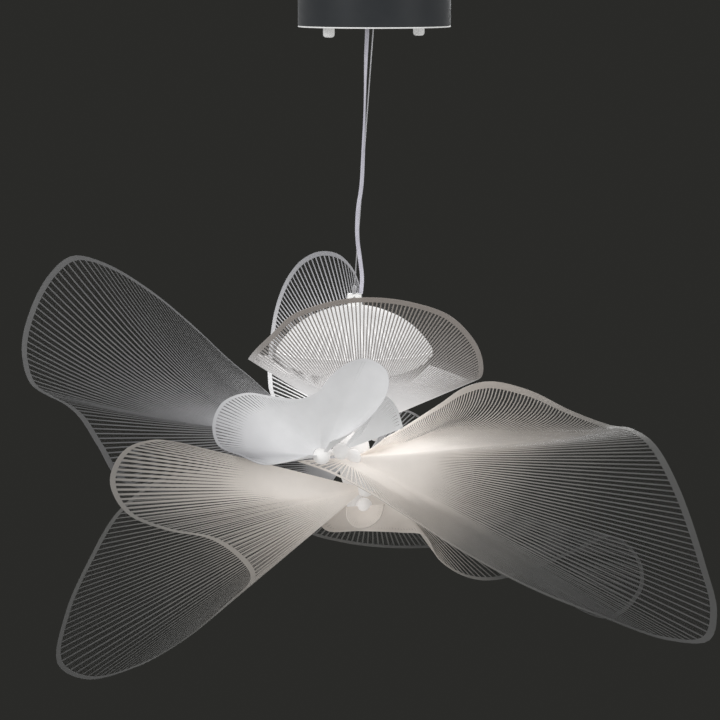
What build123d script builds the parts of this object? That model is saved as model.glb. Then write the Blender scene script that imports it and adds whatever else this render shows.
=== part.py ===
from build123d import *

import os
from collections import namedtuple
from math import cos, hypot, pi, radians, sin, sqrt, tan

# Pendant lamp: a round ceiling canopy, a steel wire and a flat cord, a fluted light head,
# and twelve clear petals whose printed lines fan out from a white hub.
# Millimetres, +Z up. The origin is the centre of the canopy's ceiling face.

# Canopy
canopy_diameter = 160.0
canopy_height = 50.0
canopy_wall = 1.2
plate_thickness = 1.5
plate_ring_height = 4.0
plate_ring_wall = 1.5
plate_ring_clearance = 0.3
cord_opening_diameter = 28.0

# Ceiling strap, its studs and the thumb nuts
strap_length = 132.0
strap_width = 26.0
strap_thickness = 2.0
strap_bearing = 38.0
stud_spacing = 120.0
stud_diameter = 4.0
stud_hole_clearance = 0.5
fixing_spacing = 60.0
fixing_hole_diameter = 5.2
stud_nut_across_flats = 7.0
stud_nut_height = 3.2
thumb_nut_diameter = 12.0
thumb_nut_height = 10.0
thumb_nut_thread_depth = 8.0
thumb_nut_grooves = 18
thumb_nut_groove_depth = 0.45
thumb_nut_rounding = 1.2
thread_clearance = 0.08
plate_to_nut_gap = 0.05

# Driver and terminal block inside the canopy
driver_length = 80.0
driver_width = 28.0
driver_height = 20.0
driver_offset = 47.0
driver_ear_length = 6.0
driver_ear_width = 10.0
driver_ear_thickness = 3.0
terminal_length = 30.0
terminal_width = 17.0
terminal_height = 14.0
terminal_offset = 52.0
terminal_ways = 3
terminal_bore = 4.0
screw_diameter = 3.0
screw_head_diameter = 5.6
screw_head_height = 1.8
terminal_screw_head_height = 1.0

# Ball swivel that the lamp hangs from
pivot_depth = 36.0
ball_radius = 13.0
ball_half_height = 9.0
shell_thickness = 3.0
shell_half_height = 7.5
running_clearance = 0.1
turntable_wall = 5.0
turntable_opening_radius = 13.5
swivel_cap_height = 6.0
housing_wall = 3.0
housing_lip = 1.6
housing_lip_height = 1.8
flange_width = 7.0
flange_thickness = 3.0
housing_screws_count = 3

# Wire and cord
wire_diameter = 1.5
wire_foot = (-21.4, 0.0, -330.9)
wire_bore_clearance = 0.05
ferrule_diameter = 4.6
ferrule_length = 8.0
cord_diameter = 4.0
cord_slot_clearance = 0.3
cord_clamp_size = (6.4, 6.4, 5.0)
cord_clamp_rounding = 1.2
cord_grip_clearance = 0.02

# The cord's route from the ball to the bracket
cord_route = [
    (-7.2, -3.0, -22.0),
    (-7.2, -3.0, -51.0),
    (-8.9, -3.0, -82.0),
    (-10.2, -3.5, -142.0),
    (-12.0, -3.2, -192.0),
    (-13.4, -3.6, -219.0),
    (-17.4, -4.4, -240.0),
    (-18.4, -5.6, -270.0),
    (-14.6, -4.8, -296.0),
    (-12.2, -2.2, -317.0),
    (-14.2, 0.0, -330.5),
]

# Bracket on top of the light head
bracket_length = 15.0
bracket_width = 12.0
bracket_height = 6.6
bracket_rounding = 1.0
neck_diameter = 16.0

# Light head
head_x = -21.0
dome_top_z = -343.0
dome_radius = 81.5
dome_height = 48.0
dome_wall = 2.0
flute_count = 50
flute_width = 4.2
flute_depth = 1.2
flute_start_radius = 40.0
bowl_shoulder_radius = 76.0
bowl_shoulder_drop = 14.0
bowl_floor_radius = 42.0
bowl_floor_drop = 27.0
bowl_wall = 1.6
bowl_rounding = 8.0
band_height = 5.0
band_thickness = 1.5
sink_radius = 58.0
sink_thickness = 3.0
sink_fin_count = 16
sink_fin_height = 5.0
sink_fin_thickness = 1.6
sink_fin_inner_radius = 16.0
sink_fin_end_margin = 4.0
board_inner_radius = 18.0
board_outer_radius = 52.0
board_thickness = 1.6
chip_length = 3.5
chip_width = 2.8
chip_height = 0.8
chip_rings = [(28.0, 12), (44.0, 20)]
rod_diameter = 6.0
rod_clearance = 0.1
dome_nut_across_flats = 10.0
dome_nut_height = 4.0

# Hub that carries the petals
hub_z = -504.0
stem_radius = 8.0
stem_foot_z = -562.0
stem_rise = 14.0
core_radius = 17.0
core_rise = 34.0
core_drop = 40.0
core_inset = 1.0
arm_radius = 4.0
knob_radius = 9.0
seat_gap = 0.3
washer_radius = 14.0
washer_thickness = 1.6
cap_nut_radius = 7.0
cap_nut_height = 9.0
cap_nut_rounding = 3.0
cap_nut_thread_depth = 4.0

# Petals
sheet_thickness = 0.8
lines_across = 60
points_along = 9
sheet_fit = 0.3
bend_sharpness = 0.8

# A petal's rim is a row of places on its edge, from the hub's centre: x, y, z and how far
# the sheet curls there, from 0, straight out, to 1. Bend tells where the curled lines turn:
# the share of the way out, then the share of the way up or down.
Petal = namedtuple("Petal", "root bend rim")
petals = {
    "petal_upper_left": Petal(
        root=(-35, 8, 19),
        bend=(0.5, 0.06),
        rim=[
            (-112, 52, 76, 0.1), (-140, 64, 98, 0.5), (-173, 75, 128, 0.9), (-222, 88, 167, 1),
            (-272, 95, 196, 1), (-307, 92, 204, 1), (-332, 80, 184, 1),
            (-352, 58, 143, 1), (-357, 35, 108, 0.95), (-346, 12, 76, 0.8), (-326, 0, 64, 0.6),
            (-310, 0, 56, 0.45), (-295, 6, 42, 0.25), (-275, 22, 5, 0), (-255, 38, -32, 0),
            (-211, 50, -49, 0), (-151, 48, -38, 0), (-96, 34, -11, 0),
        ],
    ),
    "petal_lower_left": Petal(
        root=(12, -24, -32),
        bend=(0.5, 0.5),
        rim=[
            (-178, -104, 30, 0), (-206, -116, 35, 0), (-235, -125, 26, 0), (-250, -132, -4, 0),
            (-235, -132, -37, 0), (-195, -125, -57, 0), (-151, -110, -69, 0),
            (-123, -88, -92, 0), (-109, -58, -123, 0), (-138, -28, -158, 0), (-176, -6, -195, 0),
            (-232, 10, -232, 0), (-292, 22, -250, 0), (-322, 28, -235, 0), (-314, 30, -181, 0),
            (-288, 26, -121, 0), (-254, 18, -64, 0), (-208, 8, -28, 0), (-149, -4, -16, 0),
            (-90, -16, -16, 0),
        ],
    ),
    "petal_right": Petal(
        root=(-2, -34, 3),
        bend=(0.96, 0.06),
        rim=[
            (32, -6, 19, 0.3), (51, 30, 24, 0.8), (93, 80, 43, 1), (122, 106, 58, 1),
            (152, 122, 62, 1), (194, 120, 52, 1), (236, 96, 34, 1), (277, 58, 23, 0.8),
            (298, 18, 25, 0.3), (319, -20, 14, 0), (342, -58, -28, 0), (366, -90, -101, 0),
            (377, -104, -148, 0), (369, -112, -176, 0), (327, -118, -175, 0), (254, -120, -149, 0),
            (182, -116, -120, 0), (120, -108, -88, 0), (68, -98, -57, 0), (16, -86, -26, 0),
            (-25, -76, -6, 0), (-59, -70, 5, 0),
        ],
    ),
    "petal_lower_right": Petal(
        root=(34, 18, -37),
        bend=(0.5, 0.5),
        rim=[
            (-21, 24, -51, 0), (-39, 22, -72, 0), (-31, 18, -85, 0), (6, 8, -84, 0),
            (49, -6, -83, 0), (75, -14, -85, 0), (91, -20, -110, 0), (118, -24, -127, 0),
            (147, -24, -131, 0), (187, -16, -122, 0), (236, -2, -105, 0), (277, 16, -92, 0),
            (310, 44, -123, 0), (314, 60, -160, 0), (280, 68, -193, 0), (203, 68, -156, 0),
            (137, 60, -110, 0), (82, 44, -62, 0),
        ],
    ),
    "petal_front_shell": Petal(
        root=(8, -40, 35),
        bend=(0.5, 0.5),
        rim=[
            (-90, -35, 110, 0), (-104, -50, 115, 0), (-110, -72, 113, 0), (-101, -92, 126, 0),
            (-85, -108, 143, 0),
            (-63, -124, 165, 0), (-37, -132, 176, 0), (-7, -136, 183, 0), (24, -136, 184, 0),
            (57, -130, 179, 0), (95, -116, 165, 0), (119, -98, 142, 0), (132, -78, 117, 0),
            (133, -56, 93, 0), (122, -38, 86, 0), (101, -30, 93, 0), (80, -26, 100, 0),
        ],
    ),
    "petal_back_top": Petal(
        root=(24, 54, 15),
        bend=(0.5, 0.5),
        rim=[
            (-72, 52, 38, 0), (-90, 58, 55, 0), (-94, 66, 77, 0), (-92, 86, 113, 0),
            (-86, 108, 148, 0), (-74, 122, 177, 0), (-58, 130, 196, 0), (-38, 132, 205, 0),
            (-18, 132, 202, 0), (-3, 128, 188, 0), (5, 122, 170, 0), (10, 112, 142, 0),
            (15, 92, 101, 0), (13, 64, 61, 0),
        ],
    ),
    "petal_front_leaf": Petal(
        root=(-34, -72, 11),
        bend=(0.5, 0.5),
        rim=[
            (-25, -92, 29, 0), (-4, -100, 40, 0), (22, -106, 63, 0), (35, -108, 86, 0),
            (33, -108, 106, 0), (13, -106, 118, 0), (-7, -106, 113, 0), (-24, -104, 99, 0),
            (-37, -98, 83, 0), (-56, -84, 73, 0), (-88, -64, 73, 0), (-114, -56, 75, 0),
            (-138, -58, 65, 0), (-148, -66, 43, 0), (-142, -76, 23, 0), (-118, -88, 14, 0),
            (-95, -96, 6, 0), (-66, -98, 10, 0), (-48, -94, 15, 0),
        ],
    ),
    "petal_front_cone": Petal(
        root=(-14, -60, 14),
        bend=(0.5, 0.5),
        rim=[
            (8, -72, 34, 0), (21, -78, 57, 0), (33, -80, 75, 0), (44, -80, 63, 0),
            (51, -76, 41, 0),
        ],
    ),
    "petal_bottom_back": Petal(
        root=(19, 40, -34),
        bend=(0.5, 0.5),
        rim=[
            (-59, 66, -66, 0), (-64, 72, -86, 0), (-49, 78, -100, 0), (-16, 82, -110, 0),
            (22, 84, -116, 0), (66, 82, -117, 0), (99, 80, -113, 0), (118, 76, -96, 0),
            (110, 66, -72, 0),
        ],
    ),
    "petal_bottom_tip": Petal(
        root=(10, -18, -52),
        bend=(0.5, 0.5),
        rim=[
            (-8, -34, -50, 0), (-8, -42, -60, 0), (0, -48, -69, 0), (14, -50, -69, 0),
            (27, -46, -60, 0), (32, -36, -47, 0),
        ],
    ),
    "petal_back_right": Petal(
        root=(12, 30, -8),
        bend=(0.5, 0.5),
        rim=[
            (38, 48, 30, 0), (49, 58, 40, 0), (69, 72, 32, 0), (88, 84, 8, 0),
            (116, 92, -15, 0), (132, 94, -41, 0), (116, 86, -59, 0), (82, 70, -59, 0),
            (49, 50, -41, 0),
        ],
    ),
    "petal_back_left": Petal(
        root=(-11, 34, -16),
        bend=(0.5, 0.5),
        rim=[
            (-40, 60, 6, 0), (-70, 82, 12, 0), (-102, 100, -2, 0), (-127, 112, -27, 0),
            (-129, 114, -54, 0), (-102, 104, -70, 0), (-60, 82, -68, 0), (-32, 58, -50, 0),
        ],
    ),
}

# Sizes and places worked out from those above
canopy_radius = canopy_diameter / 2
plate_top_z = plate_thickness - canopy_height
pivot_z = -pivot_depth
shell_inner_radius = ball_radius + running_clearance
shell_outer_radius = shell_inner_radius + shell_thickness
seat_radius = shell_outer_radius + running_clearance
turntable_radius = seat_radius + turntable_wall
housing_bore_radius = turntable_radius + running_clearance
housing_radius = housing_bore_radius + housing_wall
flange_radius = housing_radius + flange_width
stud_bore_radius = stud_diameter / 2
bracket_foot_z = wire_foot[2] - bracket_height
dome_rim_z = dome_top_z - dome_height
head_sink_z = dome_rim_z - sink_thickness
rod_bore_radius = rod_diameter / 2 + rod_clearance
bowl_floor_z = dome_rim_z - bowl_floor_drop
lower_board_z = head_sink_z - sink_fin_height - board_thickness
throat = knob_radius + seat_gap
hub_centre = Vector(head_x, 0, hub_z)

os.makedirs("parts", exist_ok=True)


def finish(builder, label):
    """Label a finished piece and write it."""
    builder.part.label = label
    export_step(builder.part, f"parts/{label}.step")


def on_strap(distance, z):
    """Place at a distance along the ceiling strap, at height z."""
    return (distance * cos(radians(strap_bearing)), distance * sin(radians(strap_bearing)), z)


# Canopy shell: an open ring between the ceiling and the plate
with BuildPart() as canopy_shell:
    with BuildSketch(Plane.XY.offset(plate_top_z)):
        Circle(canopy_radius)
        Circle(canopy_radius - canopy_wall, mode=Mode.SUBTRACT)
    extrude(amount=-plate_top_z)
finish(canopy_shell, "canopy_shell")

# Canopy plate: the white disc below the shell, with a ring that centres the shell
ring_outer_radius = canopy_radius - canopy_wall - plate_ring_clearance
with BuildPart() as canopy_plate:
    with BuildSketch(Plane.XY.offset(-canopy_height)):
        Circle(canopy_radius)
        Circle(cord_opening_diameter / 2, mode=Mode.SUBTRACT)
        with Locations(on_strap(stud_spacing / 2, 0), on_strap(-stud_spacing / 2, 0)):
            Circle(stud_bore_radius + stud_hole_clearance, mode=Mode.SUBTRACT)
    extrude(amount=plate_thickness)
    with BuildSketch(Plane.XY.offset(plate_top_z)):
        Circle(ring_outer_radius)
        Circle(ring_outer_radius - plate_ring_wall, mode=Mode.SUBTRACT)
    extrude(amount=plate_ring_height)
finish(canopy_plate, "canopy_plate")

# Ceiling strap: a steel strip with two fixing holes and two stud holes
with BuildPart() as ceiling_strap:
    with BuildSketch(Plane.XY.offset(-strap_thickness)):
        SlotOverall(strap_length, strap_width, rotation=strap_bearing)
        with Locations(on_strap(fixing_spacing / 2, 0), on_strap(-fixing_spacing / 2, 0)):
            Circle(fixing_hole_diameter / 2, mode=Mode.SUBTRACT)
        with Locations(on_strap(stud_spacing / 2, 0), on_strap(-stud_spacing / 2, 0)):
            Circle(stud_bore_radius, mode=Mode.SUBTRACT)
    extrude(amount=strap_thickness)
finish(ceiling_strap, "ceiling_strap")

# Two studs that hang from the strap
stud_length = canopy_height + plate_to_nut_gap + thumb_nut_thread_depth - 0.5
with BuildPart() as canopy_studs:
    with BuildSketch(Plane.XY):
        with Locations(on_strap(stud_spacing / 2, 0), on_strap(-stud_spacing / 2, 0)):
            Circle(stud_bore_radius)
    extrude(amount=-stud_length)
finish(canopy_studs, "canopy_studs")

# Hexagon nuts that lock the studs to the strap
with BuildPart() as stud_nuts:
    with BuildSketch(Plane.XY.offset(-strap_thickness)):
        with Locations(on_strap(stud_spacing / 2, 0), on_strap(-stud_spacing / 2, 0)):
            RegularPolygon(stud_nut_across_flats / 2, 6, major_radius=False)
            Circle(stud_bore_radius, mode=Mode.SUBTRACT)
    extrude(amount=-stud_nut_height)
finish(stud_nuts, "stud_nuts")


def thumb_nut(distance, label):
    """Round thumb nut with a grooved side and a rounded end, on the stud at a distance."""
    nut_top_z = -canopy_height - plate_to_nut_gap
    with BuildPart() as nut:
        with BuildSketch(Plane(on_strap(distance, nut_top_z))):
            Circle(thumb_nut_diameter / 2)
        extrude(amount=-thumb_nut_height)
        chamfer(nut.faces().sort_by(Axis.Z)[0].edges(), thumb_nut_rounding)
        with BuildSketch(Plane(on_strap(distance, nut_top_z))):
            with PolarLocations(thumb_nut_diameter / 2, thumb_nut_grooves):
                Circle(thumb_nut_groove_depth)
        extrude(amount=-thumb_nut_height, mode=Mode.SUBTRACT)
        with BuildSketch(Plane(on_strap(distance, nut_top_z))):
            Circle(stud_bore_radius + thread_clearance)
        extrude(amount=-thumb_nut_thread_depth, mode=Mode.SUBTRACT)
    finish(nut, label)


thumb_nut(-stud_spacing / 2, "thumb_nut_left")
thumb_nut(stud_spacing / 2, "thumb_nut_right")

# Light driver: a closed plastic box with an ear at each end
driver_body_x = driver_length / 2
ear_centre_x = driver_body_x + driver_ear_length / 2
with BuildPart() as led_driver:
    with BuildSketch(Plane((0, driver_offset, plate_top_z))):
        RectangleRounded(driver_length, driver_width, 3)
    extrude(amount=driver_height)
    fillet(led_driver.faces().sort_by(Axis.Z)[-1].edges(), 1.5)
    with BuildSketch(Plane((0, driver_offset, plate_top_z))):
        with Locations((ear_centre_x, 0), (-ear_centre_x, 0)):
            Rectangle(driver_ear_length, driver_ear_width)
    extrude(amount=driver_ear_thickness)
    with BuildSketch(Plane((0, driver_offset, plate_top_z))):
        with Locations((ear_centre_x, 0), (-ear_centre_x, 0)):
            Circle(screw_diameter / 2)
    extrude(amount=driver_ear_thickness, mode=Mode.SUBTRACT)
finish(led_driver, "led_driver")


def pan_screws(places, seat_z, grip, label):
    """Pan head screws with their heads on seat_z and shanks of length grip below."""
    with BuildPart() as screws:
        with BuildSketch(Plane.XY.offset(seat_z)):
            with Locations(*places):
                Circle(screw_head_diameter / 2)
        extrude(amount=screw_head_height)
        fillet(screws.faces().filter_by(Axis.Z).group_by(Axis.Z)[-1].edges(), 0.8)
        with BuildSketch(Plane.XY.offset(seat_z)):
            with Locations(*places):
                Circle(screw_diameter / 2)
        extrude(amount=-grip)
    finish(screws, label)


driver_screw_places = [(ear_centre_x, driver_offset), (-ear_centre_x, driver_offset)]
pan_screws(driver_screw_places, plate_top_z + driver_ear_thickness, driver_ear_thickness, "driver_screws")

# Terminal block for the supply
terminal_pitch = terminal_length / terminal_ways
terminal_first = terminal_pitch / 2 - terminal_length / 2
terminal_places = [(terminal_first + n * terminal_pitch, -terminal_offset) for n in range(terminal_ways)]
with BuildPart() as terminal_block:
    with BuildSketch(Plane((0, -terminal_offset, plate_top_z))):
        RectangleRounded(terminal_length, terminal_width, 1.5)
    extrude(amount=terminal_height)
    for place in terminal_places:
        wire_way = (place[0], place[1] + terminal_width / 2, plate_top_z + terminal_height / 2)
        with BuildSketch(Plane(wire_way, z_dir=(0, -1, 0))):
            Circle(terminal_bore / 2)
        extrude(amount=terminal_width, mode=Mode.SUBTRACT)
finish(terminal_block, "terminal_block")

with BuildPart() as terminal_screws:
    with BuildSketch(Plane.XY.offset(plate_top_z + terminal_height)):
        with Locations(*terminal_places):
            Circle(screw_head_diameter / 2)
            Rectangle(screw_head_diameter, 0.8, mode=Mode.SUBTRACT)
            Circle(screw_head_diameter / 4)
    extrude(amount=terminal_screw_head_height)
finish(terminal_screws, "terminal_screws")

# Swivel housing: a flanged cup on the plate, with an inner lip at its foot
with BuildPart() as swivel_housing:
    with BuildSketch(Plane.XY.offset(plate_top_z)):
        Circle(flange_radius)
        Circle(housing_bore_radius, mode=Mode.SUBTRACT)
    extrude(amount=flange_thickness)
    with BuildSketch(Plane.XY.offset(plate_top_z)):
        Circle(housing_radius)
        Circle(housing_bore_radius, mode=Mode.SUBTRACT)
    extrude(amount=pivot_z + swivel_cap_height - plate_top_z)
    with BuildSketch(Plane.XY.offset(plate_top_z)):
        Circle(housing_bore_radius)
        Circle(housing_bore_radius - housing_lip, mode=Mode.SUBTRACT)
    extrude(amount=housing_lip_height)
    with BuildSketch(Plane.XY.offset(plate_top_z)):
        with PolarLocations(flange_radius - flange_width / 2, housing_screws_count, start_angle=90):
            Circle(screw_diameter / 2)
    extrude(amount=flange_thickness, mode=Mode.SUBTRACT)
finish(swivel_housing, "swivel_housing")

housing_screw_radius = flange_radius - flange_width / 2
housing_screw_places = [
    (
        housing_screw_radius * cos(radians(90 + n * 360 / housing_screws_count)),
        housing_screw_radius * sin(radians(90 + n * 360 / housing_screws_count)),
    )
    for n in range(housing_screws_count)
]
pan_screws(housing_screw_places, plate_top_z + flange_thickness, flange_thickness, "housing_screws")

# Turntable: turns in the housing, with the lower half of the ball seat
turntable_foot_z = plate_top_z + housing_lip_height + running_clearance
with BuildPart() as swivel_turntable:
    with BuildSketch(Plane.XY.offset(turntable_foot_z)):
        Circle(turntable_radius)
        Circle(turntable_opening_radius, mode=Mode.SUBTRACT)
    extrude(amount=pivot_z - turntable_foot_z)
    with Locations((0, 0, pivot_z)):
        Sphere(seat_radius, mode=Mode.SUBTRACT)
finish(swivel_turntable, "swivel_turntable")

# Cap: the upper half of the seat, screwed onto the turntable
with BuildPart() as swivel_cap:
    with BuildSketch(Plane.XY.offset(pivot_z)):
        Circle(turntable_radius)
    extrude(amount=swivel_cap_height)
    with Locations((0, 0, pivot_z)):
        Sphere(seat_radius, mode=Mode.SUBTRACT)
finish(swivel_cap, "swivel_cap")


# Cradle: a belt of a hollow ball between the seat and the ball
with BuildPart() as swivel_cradle:
    with Locations((0, 0, pivot_z)):
        Sphere(shell_outer_radius)
        Sphere(shell_inner_radius, mode=Mode.SUBTRACT)
        Box(3 * seat_radius, 3 * seat_radius, 2 * shell_half_height, mode=Mode.INTERSECT)
finish(swivel_cradle, "swivel_cradle")

# The wire runs straight from the ball to the bracket
wire_line = Vector(*wire_foot) - Vector(0, 0, pivot_z)
wire_direction = wire_line.normalized()
ball_top_z = pivot_z + ball_half_height
ferrule_tilt_rise = ferrule_diameter / 2 * hypot(wire_direction.X, wire_direction.Y)
ferrule_seat = ball_half_height / -wire_direction.Z + ferrule_tilt_rise
wire_head = Vector(0, 0, pivot_z) - wire_direction * (ferrule_seat + ferrule_length)
cord_top = Vector(*cord_route[0])
with BuildPart() as swivel_ball:
    with Locations((0, 0, pivot_z)):
        Sphere(ball_radius)
        Box(3 * ball_radius, 3 * ball_radius, 2 * ball_half_height, mode=Mode.INTERSECT)
    with BuildSketch(Plane(wire_head, z_dir=wire_direction)):
        Circle(wire_diameter / 2 + wire_bore_clearance)
    extrude(amount=4 * ball_radius, mode=Mode.SUBTRACT)
    with BuildSketch(Plane((cord_top.X, cord_top.Y, ball_top_z))):
        Circle(cord_diameter / 2 + cord_slot_clearance)
    extrude(amount=-3 * ball_radius, mode=Mode.SUBTRACT)
finish(swivel_ball, "swivel_ball")

wire_end_tilt = wire_diameter / 2 * hypot(wire_direction.X, wire_direction.Y)
with BuildPart() as suspension_wire:
    with BuildSketch(Plane(wire_head, z_dir=wire_direction)):
        Circle(wire_diameter / 2)
    extrude(amount=(Vector(*wire_foot) - wire_head).length - wire_end_tilt)
finish(suspension_wire, "suspension_wire")


def ferrule(start, direction, label):
    """Crimped sleeve around the wire, from start along direction."""
    with BuildPart() as sleeve:
        with BuildSketch(Plane(start, z_dir=direction)):
            Circle(ferrule_diameter / 2)
            Circle(wire_diameter / 2, mode=Mode.SUBTRACT)
        extrude(amount=ferrule_length)
        chamfer(sleeve.edges().filter_by(GeomType.CIRCLE).sort_by(SortBy.RADIUS)[-2:], 0.6)
    finish(sleeve, label)


ferrule(Vector(0, 0, pivot_z) - wire_direction * ferrule_seat, -wire_direction, "wire_ferrule_top")
ferrule_foot = Vector(*wire_foot) - wire_direction * ferrule_tilt_rise
ferrule(ferrule_foot, -wire_direction, "wire_ferrule_bottom")


def bend_radii(route, share=0.45):
    """Largest radius at each corner that its two runs leave room for."""
    points = [Vector(*p) for p in route]
    radii = []
    for before, here, after in zip(points, points[1:], points[2:]):
        turn = radians((here - before).get_angle(after - here))
        shorter = min((here - before).length, (after - here).length)
        radii.append(share * shorter / tan(turn / 2))
    return radii


cord_radii = bend_radii(cord_route)
with BuildPart() as power_cord:
    with BuildLine() as cord_path:
        FilletPolyline(*cord_route, radius=cord_radii)
    with BuildSketch(Plane(cord_path.line @ 0, z_dir=cord_path.line % 0)):
        Circle(cord_diameter / 2)
    sweep()
finish(power_cord, "power_cord")
cord_length = cord_path.wire().length
print("cord radii", [round(r) for r in cord_radii], "cord length", round(cord_length, 1))
print("cord volume ratio", round(power_cord.part.volume / (pi * cord_diameter**2 / 4 * cord_length), 3))

# Clamp that grips the cord where it enters the ball
with BuildPart() as cord_clamp:
    with BuildSketch(Plane((cord_top.X, cord_top.Y, ball_top_z))):
        RectangleRounded(cord_clamp_size[0], cord_clamp_size[1], cord_clamp_rounding)
        Circle(cord_diameter / 2 + cord_grip_clearance, mode=Mode.SUBTRACT)
    extrude(amount=cord_clamp_size[2])
finish(cord_clamp, "cord_clamp")

# Bracket: a white block that takes the wire and the cord
with BuildPart() as lamp_bracket:
    with BuildSketch(Plane((head_x, 0, bracket_foot_z))):
        Rectangle(bracket_length, bracket_width)
    extrude(amount=bracket_height)
    fillet(lamp_bracket.edges().filter_by(Axis.Z), bracket_rounding)
finish(lamp_bracket, "lamp_bracket")

with BuildPart() as bracket_neck:
    with BuildSketch(Plane((head_x, 0, dome_top_z))):
        Circle(neck_diameter / 2)
        Circle(rod_bore_radius, mode=Mode.SUBTRACT)
    extrude(amount=bracket_foot_z - dome_top_z)
finish(bracket_neck, "bracket_neck")

# Rod from the bracket down through the light head and the hub
with BuildPart() as center_rod:
    with BuildSketch(Plane((head_x, 0, bracket_foot_z))):
        Circle(rod_diameter / 2)
    extrude(amount=stem_foot_z - bracket_foot_z)
finish(center_rod, "center_rod")

# Upper diffuser: a shallow dome with flutes down its side
dome_sphere_radius = (dome_radius**2 + dome_height**2) / (2 * dome_height)
dome_sphere_z = dome_top_z - dome_sphere_radius
head_plane = Plane((head_x, 0, 0), x_dir=(1, 0, 0), z_dir=(0, -1, 0))
head_axis = Axis((head_x, 0, 0), (0, 0, 1))


def on_dome(radius, lift):
    """Place on the dome's outer face at a radius, lifted off it by lift."""
    reach = dome_sphere_radius + lift
    slope = radius / dome_sphere_radius
    return (slope * reach, dome_sphere_z + reach * sqrt(1 - slope**2))


dome_middle = dome_radius * 0.6
flute_middle = (flute_start_radius + dome_radius) / 2
with BuildPart() as flute:
    with BuildSketch(head_plane):
        with BuildLine():
            flute_top = ThreePointArc(
                on_dome(flute_start_radius, -flute_depth),
                on_dome(flute_middle, flute_depth),
                on_dome(dome_radius, flute_depth),
            )
            flute_root = ThreePointArc(
                on_dome(flute_start_radius, -flute_depth),
                on_dome(flute_middle, -dome_wall / 2 - flute_depth),
                on_dome(dome_radius, -dome_wall / 2),
            )
            Line(flute_top @ 1, flute_root @ 1)
        make_face()
    extrude(amount=flute_width / 2, both=True)

with BuildPart() as upper_diffuser:
    with BuildSketch(head_plane):
        with BuildLine():
            dome_outer = ThreePointArc(on_dome(0, 0), on_dome(dome_middle, 0), on_dome(dome_radius, 0))
            dome_inner = ThreePointArc(
                on_dome(0, -dome_wall), on_dome(dome_middle, -dome_wall), on_dome(dome_radius, -dome_wall)
            )
            Line(dome_outer @ 0, dome_inner @ 0)
            Line(dome_outer @ 1, dome_inner @ 1)
        make_face()
    revolve(axis=head_axis)
    for n in range(flute_count):
        add(flute.part.rotate(head_axis, n * 360 / flute_count))
    with Locations((head_x, 0, dome_rim_z - dome_height / 2)):
        Cylinder(2 * dome_radius, dome_height, mode=Mode.SUBTRACT)
    with Locations((head_x, 0, dome_top_z)):
        Cylinder(rod_bore_radius, 4 * dome_wall, mode=Mode.SUBTRACT)
finish(upper_diffuser, "upper_diffuser")

# Nut inside the dome that holds it against the neck
dome_nut_top_z = on_dome(dome_nut_across_flats / sqrt(3), -dome_wall)[1]
with BuildPart() as dome_nut:
    with BuildSketch(Plane((head_x, 0, dome_nut_top_z))):
        RegularPolygon(dome_nut_across_flats / 2, 6, major_radius=False)
        Circle(rod_diameter / 2, mode=Mode.SUBTRACT)
    extrude(amount=-dome_nut_height)
finish(dome_nut, "dome_nut")

# Lower diffuser: a shallow bowl with a hole for the hub's stem
stem_bore_radius = stem_radius + rod_clearance
with BuildPart() as lower_diffuser:
    with BuildSketch(head_plane):
        with BuildLine():
            bowl_line = Polyline(
                (dome_radius - bowl_wall / 2, dome_rim_z),
                (bowl_shoulder_radius, dome_rim_z - bowl_shoulder_drop),
                (bowl_floor_radius, bowl_floor_z + bowl_wall / 2),
                (stem_bore_radius, bowl_floor_z + bowl_wall / 2),
            )
            fillet(bowl_line.vertices()[1:3], bowl_rounding)
        trace(line_width=bowl_wall)
    revolve(axis=head_axis)
    with Locations((head_x, 0, dome_rim_z + dome_height / 2)):
        Cylinder(2 * dome_radius, dome_height, mode=Mode.SUBTRACT)
finish(lower_diffuser, "lower_diffuser")

# Ring that holds the two diffusers together
with BuildPart() as diffuser_band:
    with BuildSketch(Plane((head_x, 0, dome_rim_z - band_height))):
        Circle(dome_radius + band_thickness)
        Circle(dome_radius, mode=Mode.SUBTRACT)
    extrude(amount=band_height)
finish(diffuser_band, "diffuser_band")

# Heat sink: an aluminium disc on the rod, finned underneath
fin_length = sink_radius - sink_fin_end_margin - sink_fin_inner_radius
with BuildPart() as heat_sink:
    with BuildSketch(Plane((head_x, 0, head_sink_z))):
        Circle(sink_radius)
    extrude(amount=sink_thickness)
    with BuildSketch(Plane((head_x, 0, head_sink_z))):
        with PolarLocations(sink_fin_inner_radius + fin_length / 2, sink_fin_count):
            Rectangle(fin_length, sink_fin_thickness)
    extrude(amount=-sink_fin_height)
    with Locations((head_x, 0, head_sink_z)):
        Cylinder(rod_diameter / 2, 4 * sink_thickness, mode=Mode.SUBTRACT)
finish(heat_sink, "heat_sink")


def led_board(foot_z, label):
    """Ring-shaped circuit board with its lower face at foot_z."""
    with BuildPart() as board:
        with BuildSketch(Plane((head_x, 0, foot_z))):
            Circle(board_outer_radius)
            Circle(board_inner_radius, mode=Mode.SUBTRACT)
        extrude(amount=board_thickness)
    finish(board, label)


led_board(dome_rim_z, "led_board_upper")
led_board(lower_board_z, "led_board_lower")

# Light emitting chips on the outer faces of both boards
with BuildPart() as led_chips:
    for face_z, direction in ((dome_rim_z + board_thickness, 1), (lower_board_z, -1)):
        with BuildSketch(Plane((head_x, 0, face_z))):
            for ring_radius, ring_count in chip_rings:
                with PolarLocations(ring_radius, ring_count):
                    Rectangle(chip_width, chip_length)
        extrude(amount=direction * chip_height)
finish(led_chips, "led_chips")

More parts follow.
